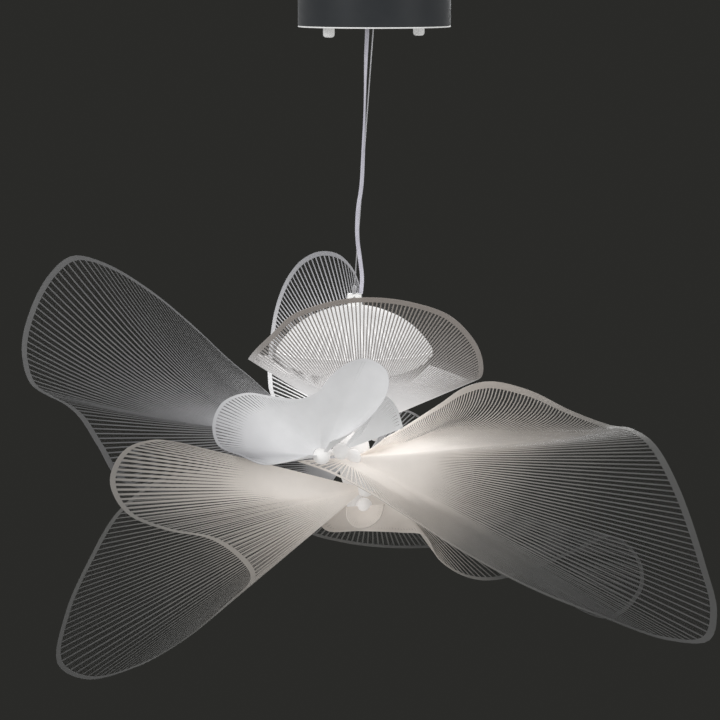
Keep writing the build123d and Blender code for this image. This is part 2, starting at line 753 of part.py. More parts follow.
# Hub: a stem below the light head, thicker at the middle like a barrel, with an arm and a
# round knob for each petal
stem_top_z = bowl_floor_z + stem_rise
core_top_z = hub_z + core_rise
core_foot_z = hub_z - core_drop
core_end_x = head_x + stem_radius - core_inset
with BuildPart() as petal_hub:
    with BuildSketch(Plane((head_x, 0, stem_foot_z))):
        Circle(stem_radius)
    extrude(amount=stem_top_z - stem_foot_z)
    with BuildSketch(Plane.XZ):
        with BuildLine():
            ThreePointArc(
                (core_end_x, core_foot_z),
                (head_x + core_radius, (core_top_z + core_foot_z) / 2),
                (core_end_x, core_top_z),
            )
            Polyline(
                (core_end_x, core_top_z),
                (head_x, core_top_z),
                (head_x, core_foot_z),
                (core_end_x, core_foot_z),
            )
        make_face()
    revolve(axis=Axis((head_x, 0, 0), (0, 0, 1)))
    for petal in petals.values():
        knob = hub_centre + Vector(*petal.root)
        arm_start = Vector(head_x, 0, knob.Z)
        with BuildSketch(Plane(arm_start, z_dir=knob - arm_start)):
            Circle(arm_radius)
        extrude(amount=(knob - arm_start).length)
        with Locations(knob):
            Sphere(knob_radius)
    with Locations((head_x, 0, (stem_top_z + stem_foot_z) / 2)):
        Cylinder(rod_diameter / 2, 2 * (stem_top_z - stem_foot_z), mode=Mode.SUBTRACT)
finish(petal_hub, "petal_hub")

# Washer under the bowl and the nut that closes the rod's foot
with BuildPart() as hub_washer:
    with BuildSketch(Plane((head_x, 0, bowl_floor_z))):
        Circle(washer_radius)
        Circle(stem_radius, mode=Mode.SUBTRACT)
    extrude(amount=-washer_thickness)
finish(hub_washer, "hub_washer")

with BuildPart() as hub_cap_nut:
    with BuildSketch(Plane((head_x, 0, stem_foot_z))):
        Circle(cap_nut_radius)
    extrude(amount=-cap_nut_height)
    fillet(hub_cap_nut.faces().sort_by(Axis.Z)[0].edges(), cap_nut_rounding)
    with BuildSketch(Plane((head_x, 0, stem_foot_z))):
        Circle(rod_diameter / 2)
    extrude(amount=-cap_nut_thread_depth, mode=Mode.SUBTRACT)
finish(hub_cap_nut, "hub_cap_nut")


def smooth_rim(places, count):
    """Smooth curve through a rim's places, read at count + 1 steps: x, y, z and curl."""
    steps = [0.0]
    for here, there in zip(places, places[1:]):
        gap = Vector(*there[:3]) - Vector(*here[:3])
        steps.append(steps[-1] + sqrt(gap.length))
    last = len(places) - 1
    slopes = []
    for n, place in enumerate(places):
        low, high = max(n - 1, 0), min(n + 1, last)
        before, after = steps[n] - steps[low], steps[high] - steps[n]
        slope = []
        for p, m, q in zip(places[low], place, places[high]):
            rise_in = (m - p) / before if before else (q - m) / after
            rise_out = (q - m) / after if after else rise_in
            slope.append((rise_out * before + rise_in * after) / (before + after))
        slopes.append(slope)
    curve = []
    n = 0
    for line in range(count + 1):
        at = steps[-1] * line / count
        while n < last - 1 and at > steps[n + 1]:
            n += 1
        width = steps[n + 1] - steps[n]
        t = (at - steps[n]) / width
        start_share = 2 * t**3 - 3 * t**2 + 1
        leave_share = (t**3 - 2 * t**2 + t) * width
        reach_share = (t**3 - t**2) * width
        ends = zip(places[n], slopes[n], places[n + 1], slopes[n + 1])
        shares = (start_share, leave_share, 1 - start_share, reach_share)
        curve.append([sum(share * value for share, value in zip(shares, end)) for end in ends])
    return curve


def sheet_line(root, place, bend, count):
    """Places along one line of a petal, from its knob's edge to its rim."""
    rim = Vector(*place[:3])
    curl = min(max(place[3], 0), 1)
    out = rim - root
    level = 0.5 + (bend[0] - 0.5) * curl
    rise = 0.5 + (bend[1] - 0.5) * curl
    turn = root + Vector(out.X * level, out.Y * level, out.Z * rise)
    first = root + (turn - root) * bend_sharpness
    second = rim + (turn - rim) * bend_sharpness

    def point(v):
        w = 1 - v
        return root * w**3 + first * (3 * v * w**2) + second * (3 * v**2 * w) + rim * v**3

    low, high = 0.0, 1.0
    for _ in range(30):
        middle = (low + high) / 2
        if (point(middle) - root).length < throat:
            low = middle
        else:
            high = middle
    return [hub_centre + point(low + (1 - low) * n / count) for n in range(count + 1)]


def offset_rows(rows, amount):
    """Rows of a sheet's places, moved off the sheet by amount."""
    last_row, last_point = len(rows) - 1, len(rows[0]) - 1
    moved = []
    for i, row in enumerate(rows):
        moved_row = []
        for j, place in enumerate(row):
            across = rows[min(i + 1, last_row)][j] - rows[max(i - 1, 0)][j]
            along = row[min(j + 1, last_point)] - row[max(j - 1, 0)]
            moved_row.append(place + across.cross(along).normalized() * amount)
        moved.append(moved_row)
    return moved


# Petals: thin clear sheets, each a fan of lines from its knob to its rim
for label, petal in petals.items():
    rim_places = smooth_rim(petal.rim, lines_across)
    rows = [sheet_line(Vector(*petal.root), place, petal.bend, points_along - 1) for place in rim_places]
    upper = Face.make_surface_from_array_of_points(offset_rows(rows, sheet_thickness / 2), tol=sheet_fit)
    lower = Face.make_surface_from_array_of_points(offset_rows(rows, -sheet_thickness / 2), tol=sheet_fit)
    walls = [Face.make_surface_from_curves(a, b) for a, b in zip(upper.edges(), lower.edges())]
    with BuildPart() as sheet:
        add(Solid(Shell([upper, lower] + walls)))
    finish(sheet, label)
    print(label, "area", round(upper.area), "fill", round(sheet.part.volume / upper.area / sheet_thickness, 3))
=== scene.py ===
"""Looks of the pendant lamp: canopy, wire and cord, light head, hub and twelve clear petals."""

import logging
import math
from collections.abc import Callable, Sequence
from dataclasses import dataclass, field
from enum import Enum

import bpy
import numpy as np
from mathutils import Matrix, Vector


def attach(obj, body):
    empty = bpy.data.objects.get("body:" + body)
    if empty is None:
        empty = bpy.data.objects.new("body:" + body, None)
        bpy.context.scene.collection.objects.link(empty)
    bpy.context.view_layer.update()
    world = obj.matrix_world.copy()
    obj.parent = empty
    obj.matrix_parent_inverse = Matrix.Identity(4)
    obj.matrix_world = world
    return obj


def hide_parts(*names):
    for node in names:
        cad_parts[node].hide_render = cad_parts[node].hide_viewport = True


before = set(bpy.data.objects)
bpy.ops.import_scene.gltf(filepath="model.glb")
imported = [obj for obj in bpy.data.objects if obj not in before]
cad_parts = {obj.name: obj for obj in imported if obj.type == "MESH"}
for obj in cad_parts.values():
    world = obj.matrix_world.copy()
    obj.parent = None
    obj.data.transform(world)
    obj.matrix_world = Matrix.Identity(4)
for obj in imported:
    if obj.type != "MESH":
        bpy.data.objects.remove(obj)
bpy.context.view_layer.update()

MM = 0.001
# Vertex attribute with the way from the hub that drives the painted falloff of the lamp's light on the
# petals.
PAINTED_FALLOFF_WAY = "way_for_painted_falloff"
log = logging.getLogger("pendant_lamp")

Point = tuple[float, float, float]
RimPlace = tuple[float, ...]

# The middle of the hub in millimetres: the petals are measured from it and the head hangs above it.
HUB_CENTRE: Point = (-21.0, 0.0, -504.0)


class Body(Enum):
    """Bodies of the CAD model that new pieces ride on."""

    CANOPY = "canopy"
    LAMP = "lamp"
    NUT_LEFT = "nut_left"
    NUT_RIGHT = "nut_right"


class Slot(Enum):
    """Material slots of the record."""

    CANOPY_PAINT = "canopy_paint"
    WHITE_PAINT = "white_paint"
    WHITE_PLASTIC = "white_plastic"
    WIRE = "wire_steel"
    CORD = "cord_white"
    DIFFUSER = "diffuser"
    PETAL = "petal_sheet"


class Tree:
    """Adds nodes to one new material and links them."""

    def __init__(self, name: str) -> None:
        """Start an empty material.

        Args:
            name: the material's name.
        """
        self.material = bpy.data.materials.new(name)
        self.material.use_nodes = True
        self.nodes = self.material.node_tree.nodes
        self.links = self.material.node_tree.links
        self.nodes.clear()

    def add(self, kind: str, **settings: object) -> bpy.types.Node:
        """Add a node and set its plain settings.

        Args:
            kind: the node type's name.
            settings: attributes to set on the node.

        Returns:
            The new node.
        """
        node = self.nodes.new(kind)
        for key, value in settings.items():
            setattr(node, key, value)
        return node

    def join(self, source: bpy.types.NodeSocket, target: bpy.types.NodeSocket) -> None:
        """Link one socket to another."""
        self.links.new(source, target)

    def noise(self, scale: float, detail: float = 4.0, rough: float = 0.55) -> bpy.types.NodeSocket:
        """Add noise on object coordinates.

        Args:
            scale: noise scale per metre.
            detail: octaves.
            rough: roughness of the octaves.

        Returns:
            The noise's factor socket.
        """
        place = self.add("ShaderNodeTexCoord")
        noise = self.add("ShaderNodeTexNoise")
        noise.inputs["Scale"].default_value = scale
        noise.inputs["Detail"].default_value = detail
        noise.inputs["Roughness"].default_value = rough
        self.join(place.outputs["Object"], noise.inputs["Vector"])
        return noise.outputs["Fac"]

    def ramp(
        self, source: bpy.types.NodeSocket, low: float, high: float, start: float = 0.3, end: float = 0.7
    ) -> bpy.types.NodeSocket:
        """Map a socket from start..end to low..high, clamped.

        Args:
            source: the socket to map.
            low: result at start.
            high: result at end.
            start: value that gives low.
            end: value that gives high.

        Returns:
            The mapped socket.
        """
        spread = self.add("ShaderNodeMapRange", clamp=True)
        for key, value in (("From Min", start), ("From Max", end), ("To Min", low), ("To Max", high)):
            spread.inputs[key].default_value = value
        self.join(source, spread.inputs["Value"])
        return spread.outputs["Result"]

    def blend(
        self, share: bpy.types.NodeSocket, first: Sequence[float], second: Sequence[float]
    ) -> bpy.types.NodeSocket:
        """Mix two colours by a socket.

        Args:
            share: mixing factor.
            first: colour at 0.
            second: colour at 1.

        Returns:
            The colour socket.
        """
        mix = self.add("ShaderNodeMix", data_type="RGBA")
        mix.inputs[6].default_value = (*first, 1.0)
        mix.inputs[7].default_value = (*second, 1.0)
        self.join(share, mix.inputs[0])
        return mix.outputs[2]

    def bump(self, height: bpy.types.NodeSocket, strength: float, distance: float) -> bpy.types.NodeSocket:
        """Make a bump from a height socket.

        Args:
            height: the height socket.
            strength: the bump's strength.
            distance: the bump's depth in metres.

        Returns:
            The normal socket.
        """
        bump = self.add("ShaderNodeBump")
        bump.inputs["Strength"].default_value = strength
        bump.inputs["Distance"].default_value = distance
        self.join(height, bump.inputs["Height"])
        return bump.outputs["Normal"]

    def close(self, shader: bpy.types.NodeSocket) -> bpy.types.Material:
        """Join the last shader to the material's output and return the material."""
        output = self.add("ShaderNodeOutputMaterial")
        self.join(shader, output.inputs["Surface"])
        return self.material


@dataclass(frozen=True)
class SurfaceFinish:
    """A solid surface with mottled colour, uneven gloss, a fine grain and an optional painted glow.

    Attributes:
        name: the finish's name.
        color: main colour.
        second: colour that the mottling leans to.
        gloss: lowest and highest roughness.
        metallic: share of bare metal.
        mottle_scale: size of the mottling, per metre.
        grain_scale: size of the grain, per metre.
        grain_depth: depth of the grain in metres.
        painted_glow: strength of a painted glow that stands in for the lamp's light falling on it.
        specular: strength of its plain reflection.
        light: colour of that painted glow.
        fineness: how much finer the gloss varies than the colour.
    """

    name: str
    color: Point
    second: Point
    gloss: tuple[float, float] = (0.35, 0.5)
    metallic: float = 0.0
    mottle_scale: float = 60.0
    grain_scale: float = 2500.0
    grain_depth: float = 0.00002
    painted_glow: float = 0.0
    specular: float = 0.5
    light: Point = (1.0, 0.97, 0.95)
    fineness: float = 4.0

    def make(self) -> bpy.types.Material:
        """Build the material and return it."""
        tree = Tree(self.name)
        shader = tree.add("ShaderNodeBsdfPrincipled")
        mottle = tree.ramp(tree.noise(self.mottle_scale), 0.0, 1.0)
        tree.join(tree.blend(mottle, self.color, self.second), shader.inputs["Base Color"])
        # Painted glow: emission that stands in for the lamp's light on the surface.
        shader.inputs["Emission Color"].default_value = (*self.light, 1.0)
        shader.inputs["Emission Strength"].default_value = self.painted_glow
        shader.inputs["Specular IOR Level"].default_value = self.specular
        wear = tree.noise(self.mottle_scale * self.fineness)
        tree.join(tree.ramp(wear, *self.gloss), shader.inputs["Roughness"])
        grain = tree.noise(self.grain_scale, detail=2.0)
        tree.join(tree.bump(grain, strength=0.4, distance=self.grain_depth), shader.inputs["Normal"])
        shader.inputs["Metallic"].default_value = self.metallic
        return tree.close(shader.outputs["BSDF"])


@dataclass(frozen=True)
class GlowFinish:
    """Opal plastic lit from inside.

    Attributes:
        name: the finish's name.
        color: colour of the light.
        shown: brightness as seen.
        given: brightness as given to what is around it.
        opal: the plastic's own colour.
        rim: share of the brightness that is left where the plastic is seen edge on.
        gloss: roughness of the plastic.
        bias: how early the plastic counts as seen edge on.
        cloud_scale: size of the clouds in its brightness, per metre.
        cloud: brightness of the darkest cloud.
    """

    name: str
    color: Point
    shown: float
    given: float
    opal: Point = (0.35, 0.35, 0.35)
    rim: float = 0.9
    gloss: float = 0.55
    bias: float = 0.35
    cloud_scale: float = 25.0
    cloud: float = 0.96

    def make(self) -> bpy.types.Material:
        """Build the material and return it."""
        tree = Tree(self.name)
        shader = tree.add("ShaderNodeBsdfPrincipled")
        shader.inputs["Base Color"].default_value = (*self.opal, 1.0)
        shader.inputs["Roughness"].default_value = self.gloss
        shader.inputs["Emission Color"].default_value = (*self.color, 1.0)
        facing = tree.add("ShaderNodeLayerWeight")
        facing.inputs["Blend"].default_value = self.bias
        cloud = tree.ramp(tree.noise(self.cloud_scale), self.cloud, 1.0)
        edge = tree.ramp(facing.outputs["Facing"], self.shown, self.shown * self.rim, start=0.25, end=1.0)
        seen = tree.add("ShaderNodeMath", operation="MULTIPLY")
        tree.join(cloud, seen.inputs[0])
        tree.join(edge, seen.inputs[1])
        path = tree.add("ShaderNodeLightPath")
        pick = tree.add("ShaderNodeMix", data_type="FLOAT")
        tree.join(path.outputs["Is Camera Ray"], pick.inputs[0])
        pick.inputs[2].default_value = self.given
        tree.join(seen.outputs[0], pick.inputs[3])
        tree.join(pick.outputs[0], shader.inputs["Emission Strength"])
        return tree.close(shader.outputs["BSDF"])


# A stop of the painted falloff: way in metres, painted colour and cover.
PaintedFalloffStop = tuple[float, Point, float]


def paint_falloff_from_hub(tree: Tree, painted_falloff_stops: Sequence[PaintedFalloffStop]) -> tuple[bpy.types.NodeSocket, ...]:
    """Paint the lamp's light onto a finish: its colour and cover fade with the way from the hub that is
    stored on the piece, as painted falloff.

    Args:
        tree: the material's tree.
        painted_falloff_stops: way in metres, colour and cover, from the hub outwards.

    Returns:
        The colour socket, the cover socket and the way itself.
    """
    reach = painted_falloff_stops[-1][0]
    way = tree.add("ShaderNodeAttribute", attribute_name=PAINTED_FALLOFF_WAY)
    share = tree.ramp(way.outputs["Fac"], 0.0, 1.0, 0.0, reach)
    fade = tree.add("ShaderNodeValToRGB")
    marks = fade.color_ramp.elements
    while len(marks) < len(painted_falloff_stops):
        marks.new(0.5)
    for mark, (distance, color, cover) in zip(marks, painted_falloff_stops):
        mark.position = distance / reach
        mark.color = (*color, cover)
    tree.join(share, fade.inputs["Fac"])
    return fade.outputs["Color"], fade.outputs["Alpha"], way.outputs["Fac"]


@dataclass(frozen=True)
class ClearFinish:
    """Clear sheet with faint haze and a soft gloss; the haze is painted bright near the hub as the lamp's
    light and fades away from it.

    Attributes:
        name: the finish's name.
        painted_falloff_stops: colour and amount of haze from the hub outwards, painted lamp light that
            fades with the way.
        steep: how much more of it shows at a grazing angle.
        gloss: lowest and highest roughness.
        smear_scale: size of the smears in its gloss, per metre.
        wave_scale: size of its waves, per metre.
        wave_depth: depth of its waves in metres.
        cloud_scale: size of the clouds in its haze, per metre.
        cloud: lowest and highest share of the haze.
        bias: how early the sheet counts as seen edge on.
    """

    name: str
    painted_falloff_stops: tuple[PaintedFalloffStop, ...]
    steep: float
    gloss: tuple[float, float] = (0.10, 0.3)
    smear_scale: float = 14.0
    wave_scale: float = 9.0
    wave_depth: float = 0.004
    cloud_scale: float = 30.0
    cloud: tuple[float, float] = (0.7, 1.3)
    bias: float = 0.5

    def make(self) -> bpy.types.Material:
        """Build the material and return it."""
        tree = Tree(self.name)
        shader = tree.add("ShaderNodeBsdfPrincipled")
        # Painted falloff: the haze's colour and amount fade with the way from the hub.
        color, cover, _ = paint_falloff_from_hub(tree, self.painted_falloff_stops)
        tree.join(color, shader.inputs["Base Color"])
        smear = tree.noise(self.smear_scale, detail=6.0, rough=0.65)
        tree.join(tree.ramp(smear, *self.gloss), shader.inputs["Roughness"])
        wave = tree.noise(self.wave_scale, detail=2.0)
        tree.join(tree.bump(wave, strength=0.25, distance=self.wave_depth), shader.inputs["Normal"])
        facing = tree.add("ShaderNodeLayerWeight")
        facing.inputs["Blend"].default_value = self.bias
        cloud = tree.add("ShaderNodeMath", operation="MULTIPLY")
        tree.join(cover, cloud.inputs[0])
        clouds = tree.noise(self.cloud_scale, detail=5.0, rough=0.7)
        tree.join(tree.ramp(clouds, *self.cloud), cloud.inputs[1])
        edge = tree.ramp(facing.outputs["Facing"], 0.0, self.steep, start=0.6, end=1.0)
        total = tree.add("ShaderNodeMath", operation="ADD", use_clamp=True)
        tree.join(cloud.outputs[0], total.inputs[0])
        tree.join(edge, total.inputs[1])
        tree.join(total.outputs[0], shader.inputs["Alpha"])
        return tree.close(shader.outputs["BSDF"])


@dataclass(frozen=True)
class PrintFinish:
    """White ink with the lamp's light painted on: a painted glow near the hub, and colour and cover that
    grey away from it as painted falloff.

    Attributes:
        name: the finish's name.
        painted_falloff_stops: colour and cover of the ink from the hub outwards, painted bright near the
            hub and fading away from it.
        painted_glow: strength of the painted glow that stands in for the lamp's light next to the hub.
        reach: way from the hub at which that painted glow has gone, in metres.
        dull: colour that the ink's darker clouds lean to.
        dulled: largest share of it.
        dull_scale: size of those clouds, per metre.
        gloss: lowest and highest roughness.
        gloss_scale: size of the changes in gloss, per metre.
        specular: strength of its plain reflection.
    """

    name: str
    painted_falloff_stops: tuple[PaintedFalloffStop, ...]
    painted_glow: float = 0.16
    reach: float = 0.11
    dull: Point = (0.7, 0.7, 0.7)
    dulled: float = 0.25
    dull_scale: float = 35.0
    gloss: tuple[float, float] = (0.4, 0.6)
    gloss_scale: float = 120.0
    specular: float = 0.3

    def make(self) -> bpy.types.Material:
        """Build the material and return it."""
        tree = Tree(self.name)
        shader = tree.add("ShaderNodeBsdfPrincipled")
        # Painted falloff: the ink's colour and cover fade with the way from the hub.
        color, cover, way = paint_falloff_from_hub(tree, self.painted_falloff_stops)
        tree.join(color, shader.inputs["Emission Color"])
        # Painted glow: emission in the ink's colour near the hub, standing in for the lamp's light.
        painted_glow_strength = tree.ramp(way, self.painted_glow, 0.0, start=self.reach / 2, end=self.reach)
        tree.join(painted_glow_strength, shader.inputs["Emission Strength"])
        dull = tree.add("ShaderNodeMix", data_type="RGBA", blend_type="MULTIPLY")
        tree.join(tree.ramp(tree.noise(self.dull_scale), 0.0, self.dulled), dull.inputs[0])
        tree.join(color, dull.inputs[6])
        dull.inputs[7].default_value = (*self.dull, 1.0)
        tree.join(dull.outputs[2], shader.inputs["Base Color"])
        tree.join(cover, shader.inputs["Alpha"])
        tree.join(tree.ramp(tree.noise(self.gloss_scale), *self.gloss), shader.inputs["Roughness"])
        shader.inputs["Specular IOR Level"].default_value = self.specular
        return tree.close(shader.outputs["BSDF"])


class Finish(Enum):
    """Every finish on the lamp."""

    # Dark grey canopy: painted shade, matched to the canopy's unlit look.
    CANOPY = SurfaceFinish(
        "canopy_grey_painted_shade",
        (0.024, 0.027, 0.030),
        (0.029, 0.032, 0.035),
        gloss=(0.40, 0.50),
        mottle_scale=30.0,
        grain_scale=1800.0,
        specular=0.2,
    )
    PLATE = SurfaceFinish("plate_white", (0.90, 0.90, 0.89), (0.85, 0.85, 0.84), gloss=(0.3, 0.42))
    PLASTIC = SurfaceFinish("moulded_white", (0.82, 0.82, 0.81), (0.76, 0.76, 0.75), gloss=(0.3, 0.45))
    # White hub with a painted glow, standing in for the lamp's light on it.
    HUB = SurfaceFinish("hub_white_painted_glow", (0.84, 0.83, 0.82), (0.80, 0.79, 0.78), gloss=(0.45, 0.55), painted_glow=0.14)
    NYLON = SurfaceFinish("natural_nylon", (0.66, 0.65, 0.60), (0.58, 0.57, 0.53), gloss=(0.4, 0.55))
    STEEL = SurfaceFinish(
        "zinc_steel",
        (0.60, 0.60, 0.61),
        (0.50, 0.50, 0.52),
        gloss=(0.24, 0.4),
        metallic=1.0,
        mottle_scale=90.0,
    )
    WIRE = SurfaceFinish(
        "bright_strand",
        (0.55, 0.55, 0.56),
        (0.45, 0.45, 0.46),
        gloss=(0.25, 0.35),
        metallic=1.0,
        mottle_scale=200.0,
    )
    BRASS = SurfaceFinish(
        "turned_brass",
        (0.72, 0.55, 0.27),
        (0.62, 0.46, 0.22),
        gloss=(0.22, 0.35),
        metallic=1.0,
        mottle_scale=90.0,
    )
    ALUMINIUM = SurfaceFinish(
        "cast_aluminium", (0.72, 0.73, 0.74), (0.62, 0.63, 0.64), metallic=1.0, mottle_scale=90.0
    )
    CORD = SurfaceFinish("cord_jacket", (0.58, 0.57, 0.64), (0.50, 0.49, 0.56))
    GLOW = GlowFinish("opal_lit", (1.0, 0.99, 0.985), shown=0.64, given=1.8)
    CHIP = GlowFinish("chip_lit", (1.0, 0.93, 0.75), shown=1.0, given=2.0)
    # Clear sheet whose haze is painted bright near the hub and fades as painted falloff.
    CLEAR = ClearFinish(
        "clear_sheet",
        (
            (0.03, (0.75, 0.74, 0.74), 0.30),
            (0.10, (0.20, 0.20, 0.20), 0.08),
            (0.20, (0.04, 0.04, 0.04), 0.09),
            (0.30, (0.02, 0.02, 0.02), 0.10),
        ),
        steep=0.03,
    )
    # Lit copy of the clear sheet: brighter, thicker haze painted on the petals in front of the lamp's
    # light.
    CLEAR_LIT = ClearFinish(
        "clear_sheet_painted_lit",
        (
            (0.03, (0.80, 0.80, 0.80), 0.45),
            (0.13, (0.40, 0.39, 0.39), 0.14),
            (0.24, (0.20, 0.19, 0.18), 0.10),
        ),
        steep=0.12,
    )
    # Copies of one white ink, each with its own painted falloff of the lamp's light: bright near the hub,
    # greying outwards.
    LINES_COOL = PrintFinish(
        "lines_cool",
        (
            (0.05, (0.84, 0.84, 0.85), 0.95),
            (0.10, (0.60, 0.60, 0.62), 0.90),
            (0.17, (0.36, 0.36, 0.37), 0.85),
            (0.25, (0.22, 0.22, 0.225), 0.80),
            (0.38, (0.155, 0.155, 0.155), 0.80),
        ),
    )
    LINES_WARM = PrintFinish(
        "lines_warm",
        (
            (0.05, (0.87, 0.82, 0.77), 0.95),
            (0.10, (0.70, 0.65, 0.60), 0.92),
            (0.14, (0.50, 0.46, 0.42), 0.88),
            (0.20, (0.25, 0.24, 0.225), 0.82),
            (0.28, (0.14, 0.14, 0.135), 0.80),
            (0.38, (0.10, 0.10, 0.098), 0.80),
        ),
    )
    # The shell's ink also has a painted glow that stands in for the lamp's light shining through it.
    LINES_SHELL = PrintFinish(
        "lines_shell",
        (
            (0.05, (0.88, 0.88, 0.89), 0.98),
            (0.11, (0.80, 0.79, 0.79), 0.96),
            (0.14, (0.56, 0.54, 0.53), 0.94),
            (0.17, (0.42, 0.39, 0.37), 0.90),
            (0.24, (0.36, 0.32, 0.29), 0.85),
        ),
        painted_glow=0.26,
        reach=0.17,
    )
    LINES_LEAF = PrintFinish(
        "lines_leaf",
        (
            (0.05, (0.88, 0.88, 0.88), 0.98),
            (0.15, (0.82, 0.82, 0.83), 0.96),
            (0.25, (0.45, 0.45, 0.47), 0.88),
            (0.35, (0.22, 0.22, 0.23), 0.80),
        ),
    )

    def material(self) -> bpy.types.Material:
        """Return the finish's material, made once."""
        found = bpy.data.materials.get(self.value.name)
        return found or self.value.make()


def dress(piece: bpy.types.Object, finish: Finish) -> None:
    """Give a piece one finish in place of what it has."""
    piece.data.materials.clear()
    piece.data.materials.append(finish.material())


def settle(piece: bpy.types.Object, finish: Finish, slot: Slot, body: Body, *nodes: str) -> None:
    """Finish a piece and hand it to the frame.

    Args:
        piece: the finished object.
        finish: its finish.
        slot: the record's material slot; not used.
        body: the body that it rides on.
        nodes: CAD nodes that it stands for.
    """
    dress(piece, finish)
    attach(piece, body.value)
    if nodes:
        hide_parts(*nodes)
    log.info("%s: %d faces on %s", piece.name, len(piece.data.polygons), body.value)


def new_mesh(name: str, places: np.ndarray, faces: Sequence[Sequence[int]]) -> bpy.types.Object:
    """Make a smooth object from places and faces.

    Args:
        name: the object's name.
        places: vertex places in metres, one row each.
        faces: vertex numbers of each face.

    Returns:
        The new object.
    """
    mesh = bpy.data.meshes.new(name)
    rows = np.asarray(places, float).reshape(-1, 3).tolist()
    mesh.from_pydata(rows, [], [tuple(map(int, face)) for face in faces])
    mesh.update()
    mesh.shade_smooth()
    piece = bpy.data.objects.new(name, mesh)
    bpy.context.scene.collection.objects.link(piece)
    return piece


def store_painted_falloff_way(piece: bpy.types.Object, way: np.ndarray) -> None:
    """Store each vertex's way from the hub, which its finish reads to fade the painted lamp light.

    Args:
        piece: the object.
        way: one value in metres for each vertex.
    """
    values = piece.data.attributes.new(PAINTED_FALLOFF_WAY, "FLOAT", "POINT")
    values.data.foreach_set("value", way.astype(np.float32).ravel())


def take(piece: bpy.types.Object) -> None:
    """Make a piece the only selected and the active one."""
    bpy.ops.object.select_all(action="DESELECT")
    piece.select_set(True)
    bpy.context.view_layer.objects.active = piece


def apply_all(piece: bpy.types.Object) -> None:
    """Apply every modifier of a piece."""
    take(piece)
    for modifier in list(piece.modifiers):
        bpy.ops.object.modifier_apply(modifier=modifier.name)


def lay_down(piece: bpy.types.Object, angle: float = 35.0) -> None:
    """Put a piece's place into its mesh and shade it smooth but for its sharp edges."""
    take(piece)
    bpy.ops.object.transform_apply(location=True, rotation=True, scale=True)
    bpy.ops.object.shade_smooth_by_angle(angle=math.radians(angle))


def pick_faces(piece: bpy.types.Object, test: Callable[[bpy.types.MeshPolygon], bool]) -> None:
    """Select a piece's faces that pass a test, then go into edit mode.

    Args:
        piece: the object.
        test: says whether a face is selected.
    """
    take(piece)
    mesh = piece.data
    mesh.polygons.foreach_set("select", [False] * len(mesh.polygons))
    mesh.edges.foreach_set("select", [False] * len(mesh.edges))
    mesh.vertices.foreach_set("select", [False] * len(mesh.vertices))
    for face in mesh.polygons:
        face.select = test(face)
    bpy.context.tool_settings.mesh_select_mode = (False, False, True)
    bpy.ops.object.mode_set(mode="EDIT")


def soften(piece: bpy.types.Object, width: float, segments: int = 3, angle: float = 60.0) -> None:
    """Round a piece's sharp edges.

    Args:
        piece: the object.
        width: the rounding's width in metres.
        segments: steps of the rounding.
        angle: edges sharper than this are rounded, in degrees.
    """
    bevel = piece.modifiers.new("round", "BEVEL")
    bevel.width = width
    bevel.segments = segments
    bevel.limit_method = "ANGLE"
    bevel.angle_limit = math.radians(angle)
    apply_all(piece)


def cylinder(name: str, radius: float, height: float, centre: Point, sides: int) -> bpy.types.Object:
    """Add an upright cylinder as the start of a piece.

    Args:
        name: the object's name.
        radius: radius in metres.
        height: height in metres.
        centre: its centre in metres.
        sides: number of sides.

    Returns:
        The new object.
    """
    bpy.ops.object.select_all(action="DESELECT")
    bpy.ops.mesh.primitive_cylinder_add(vertices=sides, radius=radius, depth=height, location=centre)
    piece = bpy.context.object
    piece.name = name
    piece.data.name = name
    return piece


def loop_tube(path: np.ndarray, section: np.ndarray, turns: np.ndarray) -> tuple[np.ndarray, list]:
    """Sweep a closed section along a path, with flat ends.

    Args:
        path: places along the path, one row each.
        section: section points, two numbers each, going round.
        turns: angle by which the section is turned at each place, in radians.

    Returns:
        The tube's places and faces.
    """
    count, around = len(path), len(section)
    tangent = np.gradient(path, axis=0)
    tangent /= np.linalg.norm(tangent, axis=1)[:, None]
    side = np.array([1.0, 0.0, 0.0])
    places = []
    for n in range(count):
        side = side - tangent[n] * (side @ tangent[n])
        side /= np.linalg.norm(side)
        up = np.cross(tangent[n], side)
        c, s = math.cos(turns[n]), math.sin(turns[n])
        a, b = side * c + up * s, up * c - side * s
        places.append(path[n] + section[:, :1] * a + section[:, 1:] * b)
    faces = []
    for n in range(count - 1):
        here, onward = n * around, (n + 1) * around
        for m in range(around):
            beside = (m + 1) % around
            faces.append((here + m, here + beside, onward + beside, onward + m))
    faces.append(tuple(reversed(range(around))))
    faces.append(tuple((count - 1) * around + m for m in range(around)))
    return np.concatenate(places), faces


def spin_profile(profile: np.ndarray, columns: int, centre_x: float) -> tuple[np.ndarray, list]:
    """Turn a closed profile round an upright axis.

    Args:
        profile: radius and height of each profile point, going round; or one such list per column.
        columns: number of columns round the axis.
        centre_x: the axis's X.

    Returns:
        The places and faces.
    """
    rows = profile.shape[-2]
    angle = np.arange(columns) * 2 * math.pi / columns
    full = np.broadcast_to(profile, (columns, rows, 2))
    radius, height = full[..., 0], full[..., 1]
    turn_x, turn_y = np.cos(angle)[:, None], np.sin(angle)[:, None]
    places = np.stack([centre_x + radius * turn_x, radius * turn_y, height], -1)
    faces = []
    for c in range(columns):
        here, onward = c * rows, (c + 1) % columns * rows
        for r in range(rows):
            below = (r + 1) % rows
            faces.append((here + r, onward + r, onward + below, here + below))
    return places.reshape(-1, 3), faces


def face_out(piece: bpy.types.Object) -> None:
    """Turn all faces of a closed piece outwards."""
    take(piece)
    bpy.ops.object.mode_set(mode="EDIT")
    bpy.ops.mesh.select_all(action="SELECT")
    bpy.ops.mesh.normals_make_consistent(inside=False)
    bpy.ops.object.mode_set(mode="OBJECT")


